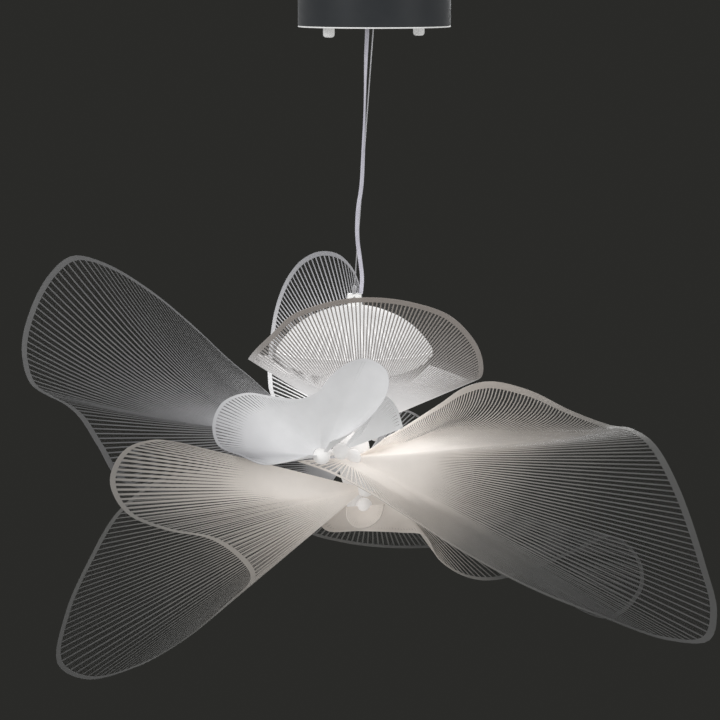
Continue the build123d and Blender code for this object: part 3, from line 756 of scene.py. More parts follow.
def closed_piece(
    name: str, places: np.ndarray, faces: Sequence[Sequence[int]], angle: float = 35.0
) -> bpy.types.Object:
    """Make a closed piece whose faces look outwards, smooth but for its sharp edges.

    Args:
        name: the object's name.
        places: vertex places in metres, one row each.
        faces: vertex numbers of each face.
        angle: edges sharper than this stay sharp, in degrees.

    Returns:
        The new object.
    """
    piece = new_mesh(name, places, faces)
    face_out(piece)
    lay_down(piece, angle)
    return piece


def cut_away(piece: bpy.types.Object, drill: bpy.types.Object) -> None:
    """Cut a drill's shape out of a piece and remove the drill."""
    lay_down(drill)
    cut = piece.modifiers.new("hole", "BOOLEAN")
    cut.operation = "DIFFERENCE"
    cut.solver = "EXACT"
    cut.object = drill
    apply_all(piece)
    bpy.data.objects.remove(drill)


@dataclass
class Canopy:
    """The ring against the ceiling, dark grey as painted shade, the white plate under it and the two thumb
    nuts.
    """

    radius: float = 80 * MM
    sides: int = 160
    height: float = 50 * MM
    wall: float = 1.2 * MM
    plate: float = 1.5 * MM
    opening: float = 14 * MM
    ring_radius: float = 78.5 * MM
    ring_height: float = 4 * MM
    cover_round: float = 0.45 * MM
    plate_round: float = 0.5 * MM
    drill_depth: float = 100 * MM
    drill_sides: int = 64
    stud_reach: float = 60 * MM
    stud_bearing: float = 38.0
    stud_hole: float = 2.5 * MM
    nut_radius: float = 6 * MM
    nut_height: float = 10 * MM
    nut_gap: float = 0.05 * MM
    nut_grooves: int = 18
    groove_sides: int = 6
    groove_depth: float = 0.3 * MM
    groove_shape: float = 0.6
    grooved_from: float = 0.97
    nut_round: float = 3.2 * MM
    nut_bore: float = 2.1 * MM
    bore_depth: float = 8 * MM

    def build(self) -> None:
        """Make every visible piece of the canopy."""
        self.cover()
        self.base_plate()
        self.thumb_nut(-1, Body.NUT_LEFT, "thumb_nut_left")
        self.thumb_nut(1, Body.NUT_RIGHT, "thumb_nut_right")

    def cover(self) -> None:
        """Ring of sheet metal with rounded edges."""
        tall = self.height - self.plate
        piece = cylinder("canopy_cover", self.radius, tall, (0, 0, -tall / 2), self.sides)
        pick_faces(piece, lambda f: abs(f.normal.z) > 0.9)
        bpy.ops.mesh.delete(type="FACE")
        bpy.ops.object.mode_set(mode="OBJECT")
        thick = piece.modifiers.new("wall", "SOLIDIFY")
        thick.thickness = self.wall
        thick.offset = -1.0
        apply_all(piece)
        lay_down(piece)
        soften(piece, self.cover_round)
        lay_down(piece)
        settle(piece, Finish.CANOPY, Slot.CANOPY_PAINT, Body.CANOPY, "canopy_shell")

    def base_plate(self) -> None:
        """White plate with a rounded lip, an opening, two stud holes and an upstanding ring."""
        middle = -self.height + self.plate / 2
        piece = cylinder("canopy_plate_disc", self.radius, self.plate, (0, 0, middle), self.sides)
        pick_faces(piece, lambda f: f.normal.z > 0.9)
        bpy.ops.mesh.inset(thickness=self.radius - self.ring_radius)
        bpy.ops.mesh.inset(thickness=self.plate)
        bpy.ops.object.mode_set(mode="OBJECT")
        pick_faces(piece, self.is_ring)
        bpy.ops.mesh.extrude_region_move(TRANSFORM_OT_translate={"value": (0, 0, self.ring_height)})
        bpy.ops.object.mode_set(mode="OBJECT")
        lay_down(piece)
        self.cut_round(piece, (0, 0), self.opening)
        for sign in (-1, 1):
            self.cut_round(piece, self.stud_place(sign), self.stud_hole)
        soften(piece, self.plate_round, angle=50)
        lay_down(piece)
        settle(piece, Finish.PLATE, Slot.WHITE_PAINT, Body.CANOPY, "canopy_plate")

    def is_ring(self, face: bpy.types.MeshPolygon) -> bool:
        """Say whether a face is where the plate's upstanding ring grows."""
        out = Vector(face.center[:2]).length
        return face.normal.z > 0.9 and self.ring_radius - self.plate < out < self.ring_radius

    def stud_place(self, sign: int) -> tuple[float, float]:
        """Return a stud's X and Y, for sign -1 or 1."""
        bearing = math.radians(self.stud_bearing)
        return sign * self.stud_reach * math.cos(bearing), sign * self.stud_reach * math.sin(bearing)

    def cut_round(self, piece: bpy.types.Object, place: tuple[float, float], radius: float) -> None:
        """Cut a round hole down through a piece.

        Args:
            piece: the object to cut.
            place: the hole's X and Y.
            radius: the hole's radius.
        """
        drill = cylinder("drill", radius, self.drill_depth, (*place, -self.height), self.drill_sides)
        cut_away(piece, drill)

    def thumb_nut(self, sign: int, body: Body, node: str) -> None:
        """Round nut with a grooved side and a rounded foot.

        Args:
            sign: which stud it is on, -1 or 1.
            body: its body.
            node: the CAD node that it stands for.
        """
        x, y = self.stud_place(sign)
        middle = -self.height - self.nut_gap - self.nut_height / 2
        sides = self.nut_grooves * self.groove_sides
        piece = cylinder(f"{node}_turned", self.nut_radius, self.nut_height, (x, y, middle), sides)
        pick_faces(piece, lambda f: f.normal.z < -0.9)
        bpy.ops.mesh.bevel(offset=self.nut_round, segments=6, affect="EDGES")
        bpy.ops.object.mode_set(mode="OBJECT")
        pick_faces(piece, lambda f: f.normal.z > 0.9)
        bpy.ops.mesh.inset(thickness=self.nut_radius - self.nut_bore)
        bpy.ops.mesh.extrude_region_move(TRANSFORM_OT_translate={"value": (0, 0, -self.bore_depth)})
        bpy.ops.object.mode_set(mode="OBJECT")
        lay_down(piece)
        for vertex in piece.data.vertices:
            out = Vector((vertex.co.x - x, vertex.co.y - y))
            if out.length > self.nut_radius * self.grooved_from:
                ring = math.cos(math.atan2(out.y, out.x) * self.nut_grooves)
                inward = self.groove_depth * max(0.0, ring) ** self.groove_shape
                vertex.co.x -= out.x / out.length * inward
                vertex.co.y -= out.y / out.length * inward
        lay_down(piece, angle=30)
        settle(piece, Finish.PLASTIC, Slot.WHITE_PLASTIC, body, node)


@dataclass
class Suspension:
    """The twisted steel wire and the flat cord beside it.

    The cord's twist is a list of shares of its length, each with the degrees it has turned by there.
    """

    pivot_z: float = -36 * MM
    ball_rise: float = 9 * MM
    ferrule: float = 8 * MM
    wire_foot: Point = (-21.4 * MM, 0.0, -330.9 * MM)
    wire_radius: float = 0.75 * MM
    strands: int = 6
    lay_length: float = 11 * MM
    cord_width: float = 4.3 * MM
    cord_depth: float = 2.2 * MM
    route: tuple[Point, ...] = (
        (-0.0072, -0.0030, -0.0220),
        (-0.0072, -0.0030, -0.0510),
        (-0.0089, -0.0030, -0.0820),
        (-0.0102, -0.0035, -0.1420),
        (-0.0120, -0.0032, -0.1920),
        (-0.0134, -0.0036, -0.2190),
        (-0.0174, -0.0044, -0.2400),
        (-0.0184, -0.0056, -0.2700),
        (-0.0146, -0.0048, -0.2960),
        (-0.0122, -0.0022, -0.3170),
        (-0.0142, 0.0, -0.3305),
    )
    twist: tuple[tuple[float, float], ...] = (
        (0.0, 0.0),
        (0.12, 5.0),
        (0.28, 80.0),
        (0.40, 95.0),
        (0.55, 150.0),
        (0.75, 175.0),
        (1.0, 180.0),
    )
    core_steps: int = 12
    core_arc: float = 125.0
    steps_a_lay: int = 10
    strand_arc: float = 62.0
    foot_gap: float = 0.06 * MM

    def build(self) -> None:
        """Make the cord and the wire."""
        self.cord()
        self.wire()

    def cord(self) -> None:
        """Flat two-core cord that turns on itself as it hangs."""
        curve = bpy.data.curves.new("cord_line", "CURVE")
        curve.dimensions = "3D"
        curve.resolution_u = 24
        spline = curve.splines.new("NURBS")
        spline.points.add(len(self.route) - 1)
        for point, place in zip(spline.points, self.route):
            point.co = (*place, 1.0)
        spline.order_u = 3
        spline.use_endpoint_u = True
        line = bpy.data.objects.new("cord_line", curve)
        bpy.context.scene.collection.objects.link(line)
        mesh = bpy.data.meshes.new_from_object(line)
        path = np.array([v.co for v in mesh.vertices], float)
        bpy.data.objects.remove(line)
        keep = np.concatenate([[True], np.linalg.norm(np.diff(path, axis=0), axis=1) > 1e-6])
        path = path[keep]
        along = np.concatenate([[0.0], np.cumsum(np.linalg.norm(np.diff(path, axis=0), axis=1))])
        share = along / along[-1]
        turns = np.radians(np.interp(share, [t[0] for t in self.twist], [t[1] for t in self.twist]))
        places, faces = loop_tube(path, self.cord_section(), turns)
        piece = closed_piece("power_cord_flat", places, faces, angle=60)
        settle(piece, Finish.CORD, Slot.CORD, Body.LAMP, "power_cord")

    def cord_section(self) -> np.ndarray:
        """Return the cord's outline: two round cores side by side with a groove between them."""
        core = self.cord_depth / 2
        offset = self.cord_width / 2 - core
        points = []
        for side in (1, -1):
            for n in range(self.core_steps + 1):
                angle = math.radians(self.core_arc * (2 * n / self.core_steps - 1))
                angle += math.pi if side < 0 else 0
                points.append((side * offset + core * math.cos(angle), core * math.sin(angle)))
        return np.array(points)

    def wire(self) -> None:
        """Strand of six wires wound round a core, pulled straight."""
        pivot = np.array([0.0, 0.0, self.pivot_z])
        foot = np.array(self.wire_foot)
        down = (foot - pivot) / np.linalg.norm(foot - pivot)
        head = pivot - down * (self.ball_rise + self.ferrule)
        length = float(np.linalg.norm(foot - head))
        steps = int(length / self.lay_length * self.steps_a_lay)
        share = np.linspace(0.0, 1.0, steps + 1)
        path = head + (foot - down * self.foot_gap - head) * share[:, None]
        strand = self.wire_radius / 3
        outline = []
        for n in range(self.strands):
            middle = 2 * math.pi * n / self.strands
            for m in (-1, 0, 1):
                swing = math.radians(self.strand_arc * m)
                centre = 2 * strand * np.array([math.cos(middle), math.sin(middle)])
                bearing = middle + swing
                outline.append(centre + strand * np.array([math.cos(bearing), math.sin(bearing)]))
        turns = share * length / self.lay_length * 2 * math.pi
        places, faces = loop_tube(path, np.array(outline), turns)
        piece = closed_piece("suspension_strand", places, faces, angle=70)
        settle(piece, Finish.WIRE, Slot.WIRE, Body.LAMP, "suspension_wire")


@dataclass
class LightHead:
    """Bracket, neck and the lit diffuser with its flutes."""

    head_x: float = HUB_CENTRE[0] * MM
    bracket: Point = (15 * MM, 12 * MM, 6.6 * MM)
    bracket_top: float = -330.9 * MM
    block_round: float = 0.8 * MM
    grub_radius: float = 1.1 * MM
    grub_depth: float = 5 * MM
    grub_sides: int = 32
    neck_radius: float = 8 * MM
    neck_edge: float = 0.6 * MM
    neck_foot: float = 1.6 * MM
    neck_gap: float = 0.4 * MM
    neck_sides: int = 72
    rod_bore: float = 3.1 * MM
    dome_top: float = -343 * MM
    dome_radius: float = 81.5 * MM
    dome_height: float = 48 * MM
    dome_wall: float = 2 * MM
    dome_rows: int = 34
    flutes: int = 50
    flute_sides: int = 8
    flute_shape: float = 0.8
    flute_rise: float = 0.7
    flute_depth: float = 1.9 * MM
    flute_start: float = 40 * MM
    shoulder: tuple[float, float] = (76 * MM, 14 * MM)
    floor: tuple[float, float] = (42 * MM, 27 * MM)
    bowl_wall: float = 1.6 * MM
    bowl_sides: int = 160
    stem_bore: float = 8.1 * MM
    band_height: float = 5 * MM
    band_thickness: float = 1.5 * MM
    band_edge: float = 0.4 * MM
    band_sides: int = 200

    def build(self) -> None:
        """Make every visible piece of the light head."""
        self.block()
        self.neck()
        self.dome()
        self.bowl()
        self.band()

    @property
    def rim_z(self) -> float:
        """Height of the dome's rim."""
        return self.dome_top - self.dome_height

    def block(self) -> None:
        """Bracket with rounded edges and a grub screw's hole in front."""
        bpy.ops.object.select_all(action="DESELECT")
        middle = self.bracket_top - self.bracket[2] / 2
        bpy.ops.mesh.primitive_cube_add(size=1.0, location=(self.head_x, 0, middle))
        piece = bpy.context.object
        piece.name = piece.data.name = "lamp_bracket_block"
        piece.scale = self.bracket
        lay_down(piece)
        drill = cylinder("drill", self.grub_radius, self.grub_depth, (0, 0, 0), self.grub_sides)
        drill.rotation_euler = (math.radians(90), 0, 0)
        drill.location = (self.head_x, -self.bracket[1] / 2, middle)
        cut_away(piece, drill)
        soften(piece, self.block_round, segments=4)
        lay_down(piece)
        settle(piece, Finish.PLASTIC, Slot.WHITE_PLASTIC, Body.LAMP, "lamp_bracket")

    def neck(self) -> None:
        """Collar between the bracket and the dome, with a broken top edge."""
        top, foot = self.bracket_top - self.bracket[2], self.dome_top - self.neck_gap
        outer = [
            (self.neck_radius - self.neck_edge, top),
            (self.neck_radius, top - self.neck_edge),
            (self.neck_radius, foot + self.neck_foot),
            (self.neck_radius, foot),
            (self.rod_bore, foot),
            (self.rod_bore, top),
        ]
        piece = closed_piece("bracket_collar", *spin_profile(np.array(outer), self.neck_sides, self.head_x))
        settle(piece, Finish.PLASTIC, Slot.WHITE_PLASTIC, Body.LAMP, "bracket_neck")

    def dome(self) -> None:
        """Opal dome whose flutes deepen towards its edge."""
        sphere = (self.dome_radius**2 + self.dome_height**2) / (2 * self.dome_height)
        centre_z = self.dome_top - sphere
        reach = math.asin(self.dome_radius / sphere)
        columns = self.flutes * self.flute_sides
        angle = np.arange(columns) * 2 * math.pi / columns
        lobe = np.abs(np.cos(angle * self.flutes / 2)) ** self.flute_shape
        slopes = np.linspace(math.asin(self.rod_bore / sphere), reach, self.dome_rows)
        past = (sphere * np.sin(slopes) - self.flute_start) / (self.dome_radius - self.flute_start)
        rise = np.clip(past, 0.0, 1.0) ** self.flute_rise
        lift = rise[None, :] * (lobe[:, None] * 2 - 1) * self.flute_depth
        outer_r = (sphere + lift) * np.sin(slopes)
        outer_z = centre_z + (sphere + lift) * np.cos(slopes)
        inner = sphere - self.dome_wall
        inner_r = np.broadcast_to(inner * np.sin(slopes[::-1]), outer_r.shape)
        inner_z = np.broadcast_to(centre_z + inner * np.cos(slopes[::-1]), outer_r.shape)
        outer_z = np.maximum(outer_z, self.rim_z)
        inner_z = np.maximum(inner_z, self.rim_z)
        outside, inside = np.stack([outer_r, outer_z], -1), np.stack([inner_r, inner_z], -1)
        profile = np.concatenate([outside, inside], axis=1)
        piece = closed_piece("diffuser_dome", *spin_profile(profile, columns, self.head_x), angle=40)
        settle(piece, Finish.GLOW, Slot.DIFFUSER, Body.LAMP, "upper_diffuser")

    def bowl(self) -> None:
        """Shallow opal bowl under the dome, as one smooth turned wall."""
        half = self.bowl_wall / 2
        spine = self.round_off(
            [
                (self.dome_radius - half, self.rim_z),
                (self.shoulder[0], self.rim_z - self.shoulder[1]),
                (self.floor[0], self.rim_z - self.floor[1] + half),
                (self.stem_bore, self.rim_z - self.floor[1] + half),
            ]
        )
        way = np.gradient(spine, axis=0)
        way /= np.linalg.norm(way, axis=1)[:, None]
        aside = np.stack([-way[:, 1], way[:, 0]], -1) * half
        profile = np.concatenate([spine + aside, (spine - aside)[::-1]])
        profile[:, 1] = np.minimum(profile[:, 1], self.rim_z)
        places, faces = spin_profile(profile, self.bowl_sides, self.head_x)
        piece = closed_piece("diffuser_bowl", places, faces, angle=50)
        settle(piece, Finish.GLOW, Slot.DIFFUSER, Body.LAMP, "lower_diffuser")

    @staticmethod
    def round_off(corners: list[tuple[float, float]], times: int = 3) -> np.ndarray:
        """Cut the corners of a line again and again.

        Args:
            corners: the line's corners.
            times: how often they are cut.

        Returns:
            The rounded line, one point a row.
        """
        line = np.array(corners)
        for _ in range(times):
            quarter = line[:-1] * 0.75 + line[1:] * 0.25
            far = line[:-1] * 0.25 + line[1:] * 0.75
            line = np.concatenate([line[:1], np.stack([quarter, far], 1).reshape(-1, 2), line[-1:]])
        return line

    def band(self) -> None:
        """Ring with rounded edges that holds dome and bowl together."""
        inner, outer = self.dome_radius, self.dome_radius + self.band_thickness
        top, foot = self.rim_z, self.rim_z - self.band_height
        profile = np.array(
            [
                (inner, top),
                (outer - self.band_edge, top),
                (outer, top - self.band_edge),
                (outer, foot + self.band_edge),
                (outer - self.band_edge, foot),
                (inner, foot),
            ]
        )
        piece = closed_piece("diffuser_ring", *spin_profile(profile, self.band_sides, self.head_x))
        settle(piece, Finish.GLOW, Slot.DIFFUSER, Body.LAMP, "diffuser_band")


@dataclass(frozen=True)
class PrintBand:
    """How the lines are at one place round a petal's rim; between bands it changes evenly.

    Attributes:
        share: share of the way round the rim.
        pitch: spacing of the lines at the rim, in millimetres.
        width: width of a line, in millimetres.
        solid: share of each line's way out over which the print is solid.
        light: how far the painted lamp light carries here, as a stretch of the way that the painted falloff
            reads; 1 is plain.
    """

    share: float
    pitch: float
    width: float = 1.3
    solid: float = 0.0
    light: float = 1.0


@dataclass(frozen=True)
class LineStyle:
    """How a petal is printed.

    Attributes:
        bands: the bands round the rim, in order.
        border: width of the border along the rim, in millimetres.
        ink: finish of the lines and the border.
        sheet: finish of the clear sheet.
    """

    bands: tuple[PrintBand, ...]
    border: float
    ink: Finish = Finish.LINES_COOL
    sheet: Finish = Finish.CLEAR


@dataclass(frozen=True)
class PetalShape:
    """One petal, in millimetres from the hub's centre.

    Attributes:
        node: the CAD node that it stands for.
        root: where its lines meet.
        rim: places on its rim, with a fourth number, from 0 to 1, where the sheet curls.
        style: how it is printed.
        bend: where curled lines turn: share of the way out, then of the way up or down.
    """

    node: str
    root: Point
    rim: tuple[RimPlace, ...]
    style: LineStyle
    bend: tuple[float, float] = (0.5, 0.5)


# The fifth number of each print band is how far the painted lamp light carries there.
PETALS: tuple[PetalShape, ...] = (
    PetalShape(
        "petal_upper_left",
        (-35, 8, 19),
        (
            (-112, 52, 76, 0.1), (-140, 64, 98, 0.5), (-173, 75, 128, 0.9), (-222, 88, 167, 1),
            (-272, 95, 196, 1), (-307, 92, 204, 1), (-332, 80, 184, 1), (-352, 58, 143, 1),
            (-357, 35, 108, 0.95), (-346, 12, 76, 0.8), (-326, 0, 64, 0.6), (-310, 0, 56, 0.45),
            (-295, 6, 42, 0.25), (-275, 22, 5), (-255, 38, -32), (-211, 50, -49),
            (-151, 48, -38), (-96, 34, -11),
        ),
        LineStyle(
            (
                PrintBand(0.0, 6.4, 1.2, 0.0, 0.8),
                PrintBand(0.45, 7.0),
                PrintBand(0.75, 7.0, 1.2, 0.0, 0.8),
                PrintBand(1.0, 7.0, 1.1, 0.0, 0.6),
            ),
            6.2,
        ),
        bend=(0.5, 0.06),
    ),
    PetalShape(
        "petal_lower_left",
        (12, -24, -32),
        (
            (-178, -104, 30), (-206, -116, 35), (-235, -125, 26), (-250, -132, -4),
            (-235, -132, -37), (-195, -125, -57), (-151, -110, -69), (-123, -88, -92),
            (-109, -58, -123), (-138, -28, -158), (-176, -6, -195), (-232, 10, -232),
            (-292, 22, -250), (-322, 28, -235), (-314, 30, -181), (-288, 26, -121),
            (-254, 18, -64), (-208, 8, -28), (-149, -4, -16), (-90, -16, -16),
        ),
        LineStyle(
            (
                PrintBand(0.0, 5.4, 2.2, 0.5, 1.5),
                PrintBand(0.11, 5.4, 2.4, 0.5, 1.5),
                PrintBand(0.17, 6.2, 1.6, 0.2, 1.25),
                PrintBand(0.30, 6.2, 1.5, 0.1, 1.15),
                PrintBand(0.40, 7.0, 1.4, 0.1, 1.0),
                PrintBand(0.80, 7.0, 1.3, 0.2, 1.0),
                PrintBand(1.0, 5.5, 1.4, 0.4, 1.1),
            ),
            5.6,
            Finish.LINES_WARM,
        ),
    ),
    PetalShape(
        "petal_right",
        (-2, -34, 3),
        (
            (32, -6, 19, 0.3), (51, 30, 24, 0.8), (93, 80, 43, 1), (122, 106, 58, 1), (152, 122, 62, 1),
            (194, 120, 52, 1), (236, 96, 34, 1), (277, 58, 23, 0.8), (298, 18, 25, 0.3), (319, -20, 14),
            (342, -58, -28), (366, -90, -101), (377, -104, -148), (369, -112, -176),
            (327, -118, -175), (254, -120, -149), (182, -116, -120), (120, -108, -88),
            (68, -98, -57), (16, -86, -26), (-25, -76, -6), (-59, -70, 5),
        ),
        LineStyle(
            (
                PrintBand(0.0, 4.1, 1.2, 0.6, 1.6),
                PrintBand(0.10, 4.1, 1.2, 0.3, 1.6),
                PrintBand(0.30, 4.1, 1.2, 0.2, 1.4),
                PrintBand(0.42, 6.8, 1.5, 0.2, 1.0),
                PrintBand(0.66, 6.8, 1.3, 0.2, 0.85),
                PrintBand(0.84, 6.8, 1.4, 0.3, 0.9),
                PrintBand(1.0, 6.8, 1.5, 0.3, 1.0),
            ),
            7.6,
            Finish.LINES_WARM,
        ),
        bend=(0.96, 0.06),
    ),
    PetalShape(
        "petal_lower_right",
        (34, 18, -37),
        (
            (-21, 24, -51), (-39, 22, -72), (-31, 18, -85), (6, 8, -84), (49, -6, -83),
            (75, -14, -85), (91, -20, -110), (118, -24, -127), (147, -24, -131),
            (187, -16, -122), (236, -2, -105), (277, 16, -92), (310, 44, -123),
            (314, 60, -160), (280, 68, -193), (203, 68, -156), (137, 60, -110),
            (82, 44, -62),
        ),
        LineStyle(
            (
                PrintBand(0.0, 3.4, 2.6, 0.9, 0.7),
                PrintBand(0.20, 3.4, 2.6, 0.9, 1.1),
                PrintBand(0.28, 6.0, 1.3, 0.2, 0.9),
                PrintBand(0.40, 6.0, 1.1, 0.0, 0.5),
                PrintBand(1.0, 6.0, 1.1, 0.0, 0.5),
            ),
            4.6,
            Finish.LINES_WARM,
        ),
    ),
    PetalShape(
        "petal_front_shell",
        (8, -40, 35),
        (
            (-90, -35, 110), (-104, -50, 115), (-110, -72, 113), (-101, -92, 126),
            (-85, -108, 143), (-63, -124, 165), (-37, -132, 176), (-7, -136, 183),
            (24, -136, 184), (57, -130, 179), (95, -116, 165), (119, -98, 142),
            (132, -78, 117), (133, -56, 93), (122, -38, 86), (101, -30, 93), (80, -26, 100),
        ),
        LineStyle(
            (
                PrintBand(0.0, 4.5, 1.5, 0.92, 1.3),
                PrintBand(0.10, 4.5, 1.5, 0.85, 1.3),
                PrintBand(0.20, 4.5, 1.3, 0.35),
                PrintBand(0.5, 4.5, 1.2, 0.24),
                PrintBand(0.75, 4.0, 1.2, 0.3),
                PrintBand(0.86, 3.8, 1.4, 0.5),
                PrintBand(0.90, 3.8, 1.4, 0.95, 1.9),
                PrintBand(1.0, 3.8, 2.2, 0.98, 2.2),
            ),
            5.6,
            Finish.LINES_SHELL,
            Finish.CLEAR_LIT,
        ),
    ),
    PetalShape(
        "petal_back_top",
        (24, 54, 15),
        (
            (-72, 52, 38), (-90, 58, 55), (-94, 66, 77), (-92, 86, 113), (-86, 108, 148),
            (-74, 122, 177), (-58, 130, 196), (-38, 132, 205), (-18, 132, 202),
            (-3, 128, 188), (5, 122, 170), (10, 112, 142), (15, 92, 101), (13, 64, 61),
        ),
        LineStyle(
            (
                PrintBand(0.0, 5.0, 1.3, 0.5, 0.9),
                PrintBand(1.0, 5.0, 1.2, 0.3, 0.75),
            ),
            5.2,
            Finish.LINES_LEAF,
        ),
    ),
    PetalShape(
        "petal_front_leaf",
        (-34, -72, 11),
        (
            (-25, -92, 29), (-4, -100, 40), (22, -106, 63), (35, -108, 86), (33, -108, 106),
            (13, -106, 118), (-7, -106, 113), (-24, -104, 99), (-37, -98, 83),
            (-56, -84, 73), (-88, -64, 73), (-114, -56, 75), (-138, -58, 65),
            (-148, -66, 43), (-142, -76, 23), (-118, -88, 14), (-95, -96, 6), (-66, -98, 10),
            (-48, -94, 15),
        ),
        LineStyle(
            (
                PrintBand(0.0, 3.7, 3.3, 1.0),
                PrintBand(0.45, 3.7, 3.3, 1.0),
                PrintBand(0.60, 3.7, 2.2, 0.75, 0.9),
                PrintBand(0.85, 3.7, 2.2, 0.75, 0.58),
                PrintBand(1.0, 3.7, 3.3, 1.0, 1.0),
            ),
            3.6,
            Finish.LINES_LEAF,
            Finish.CLEAR_LIT,
        ),
    ),
    PetalShape(
        "petal_front_cone",
        (-14, -60, 14),
        (
            (8, -72, 34), (21, -78, 57), (33, -80, 75), (44, -80, 63), (51, -76, 41),
        ),
        LineStyle(
            (
                PrintBand(0.0, 3.7, 2.4, 0.5, 1.2),
                PrintBand(1.0, 3.7, 2.8, 0.9, 1.2),
            ),
            3.0,
            Finish.LINES_LEAF,
            Finish.CLEAR_LIT,
        ),
    ),
    PetalShape(
        "petal_bottom_back",
        (19, 40, -34),
        (
            (-59, 66, -66), (-64, 72, -86), (-49, 78, -100), (-16, 82, -110), (22, 84, -116),
            (66, 82, -117), (99, 80, -113), (118, 76, -96), (110, 66, -72),
        ),
        LineStyle((PrintBand(0.0, 6.0, 1.3, 0.2, 0.55),), 3.2, Finish.LINES_WARM),
    ),
    PetalShape(
        "petal_bottom_tip",
        (10, -18, -52),
        (
            (-8, -34, -50), (-8, -42, -60), (0, -48, -69), (14, -50, -69), (27, -46, -60),
            (32, -36, -47),
        ),
        LineStyle((PrintBand(0.0, 3.0, 2.6, 0.7, 0.8),), 2.6, Finish.LINES_WARM),
    ),
    PetalShape(
        "petal_back_right",
        (12, 30, -8),
        (
            (38, 48, 30), (49, 58, 40), (69, 72, 32), (88, 84, 8), (116, 92, -15),
            (132, 94, -41), (116, 86, -59), (82, 70, -59), (49, 50, -41),
        ),
        LineStyle((PrintBand(0.0, 6.0, 1.1, 0.2, 0.5),), 2.6),
    ),
    PetalShape(
        "petal_back_left",
        (-11, 34, -16),
        (
            (-40, 60, 6), (-70, 82, 12), (-102, 100, -2), (-127, 112, -27), (-129, 114, -54),
            (-102, 104, -70), (-60, 82, -68), (-32, 58, -50),
        ),
        LineStyle((PrintBand(0.0, 6.0, 1.2, 0.3, 0.6),), 3.6),
    ),
)


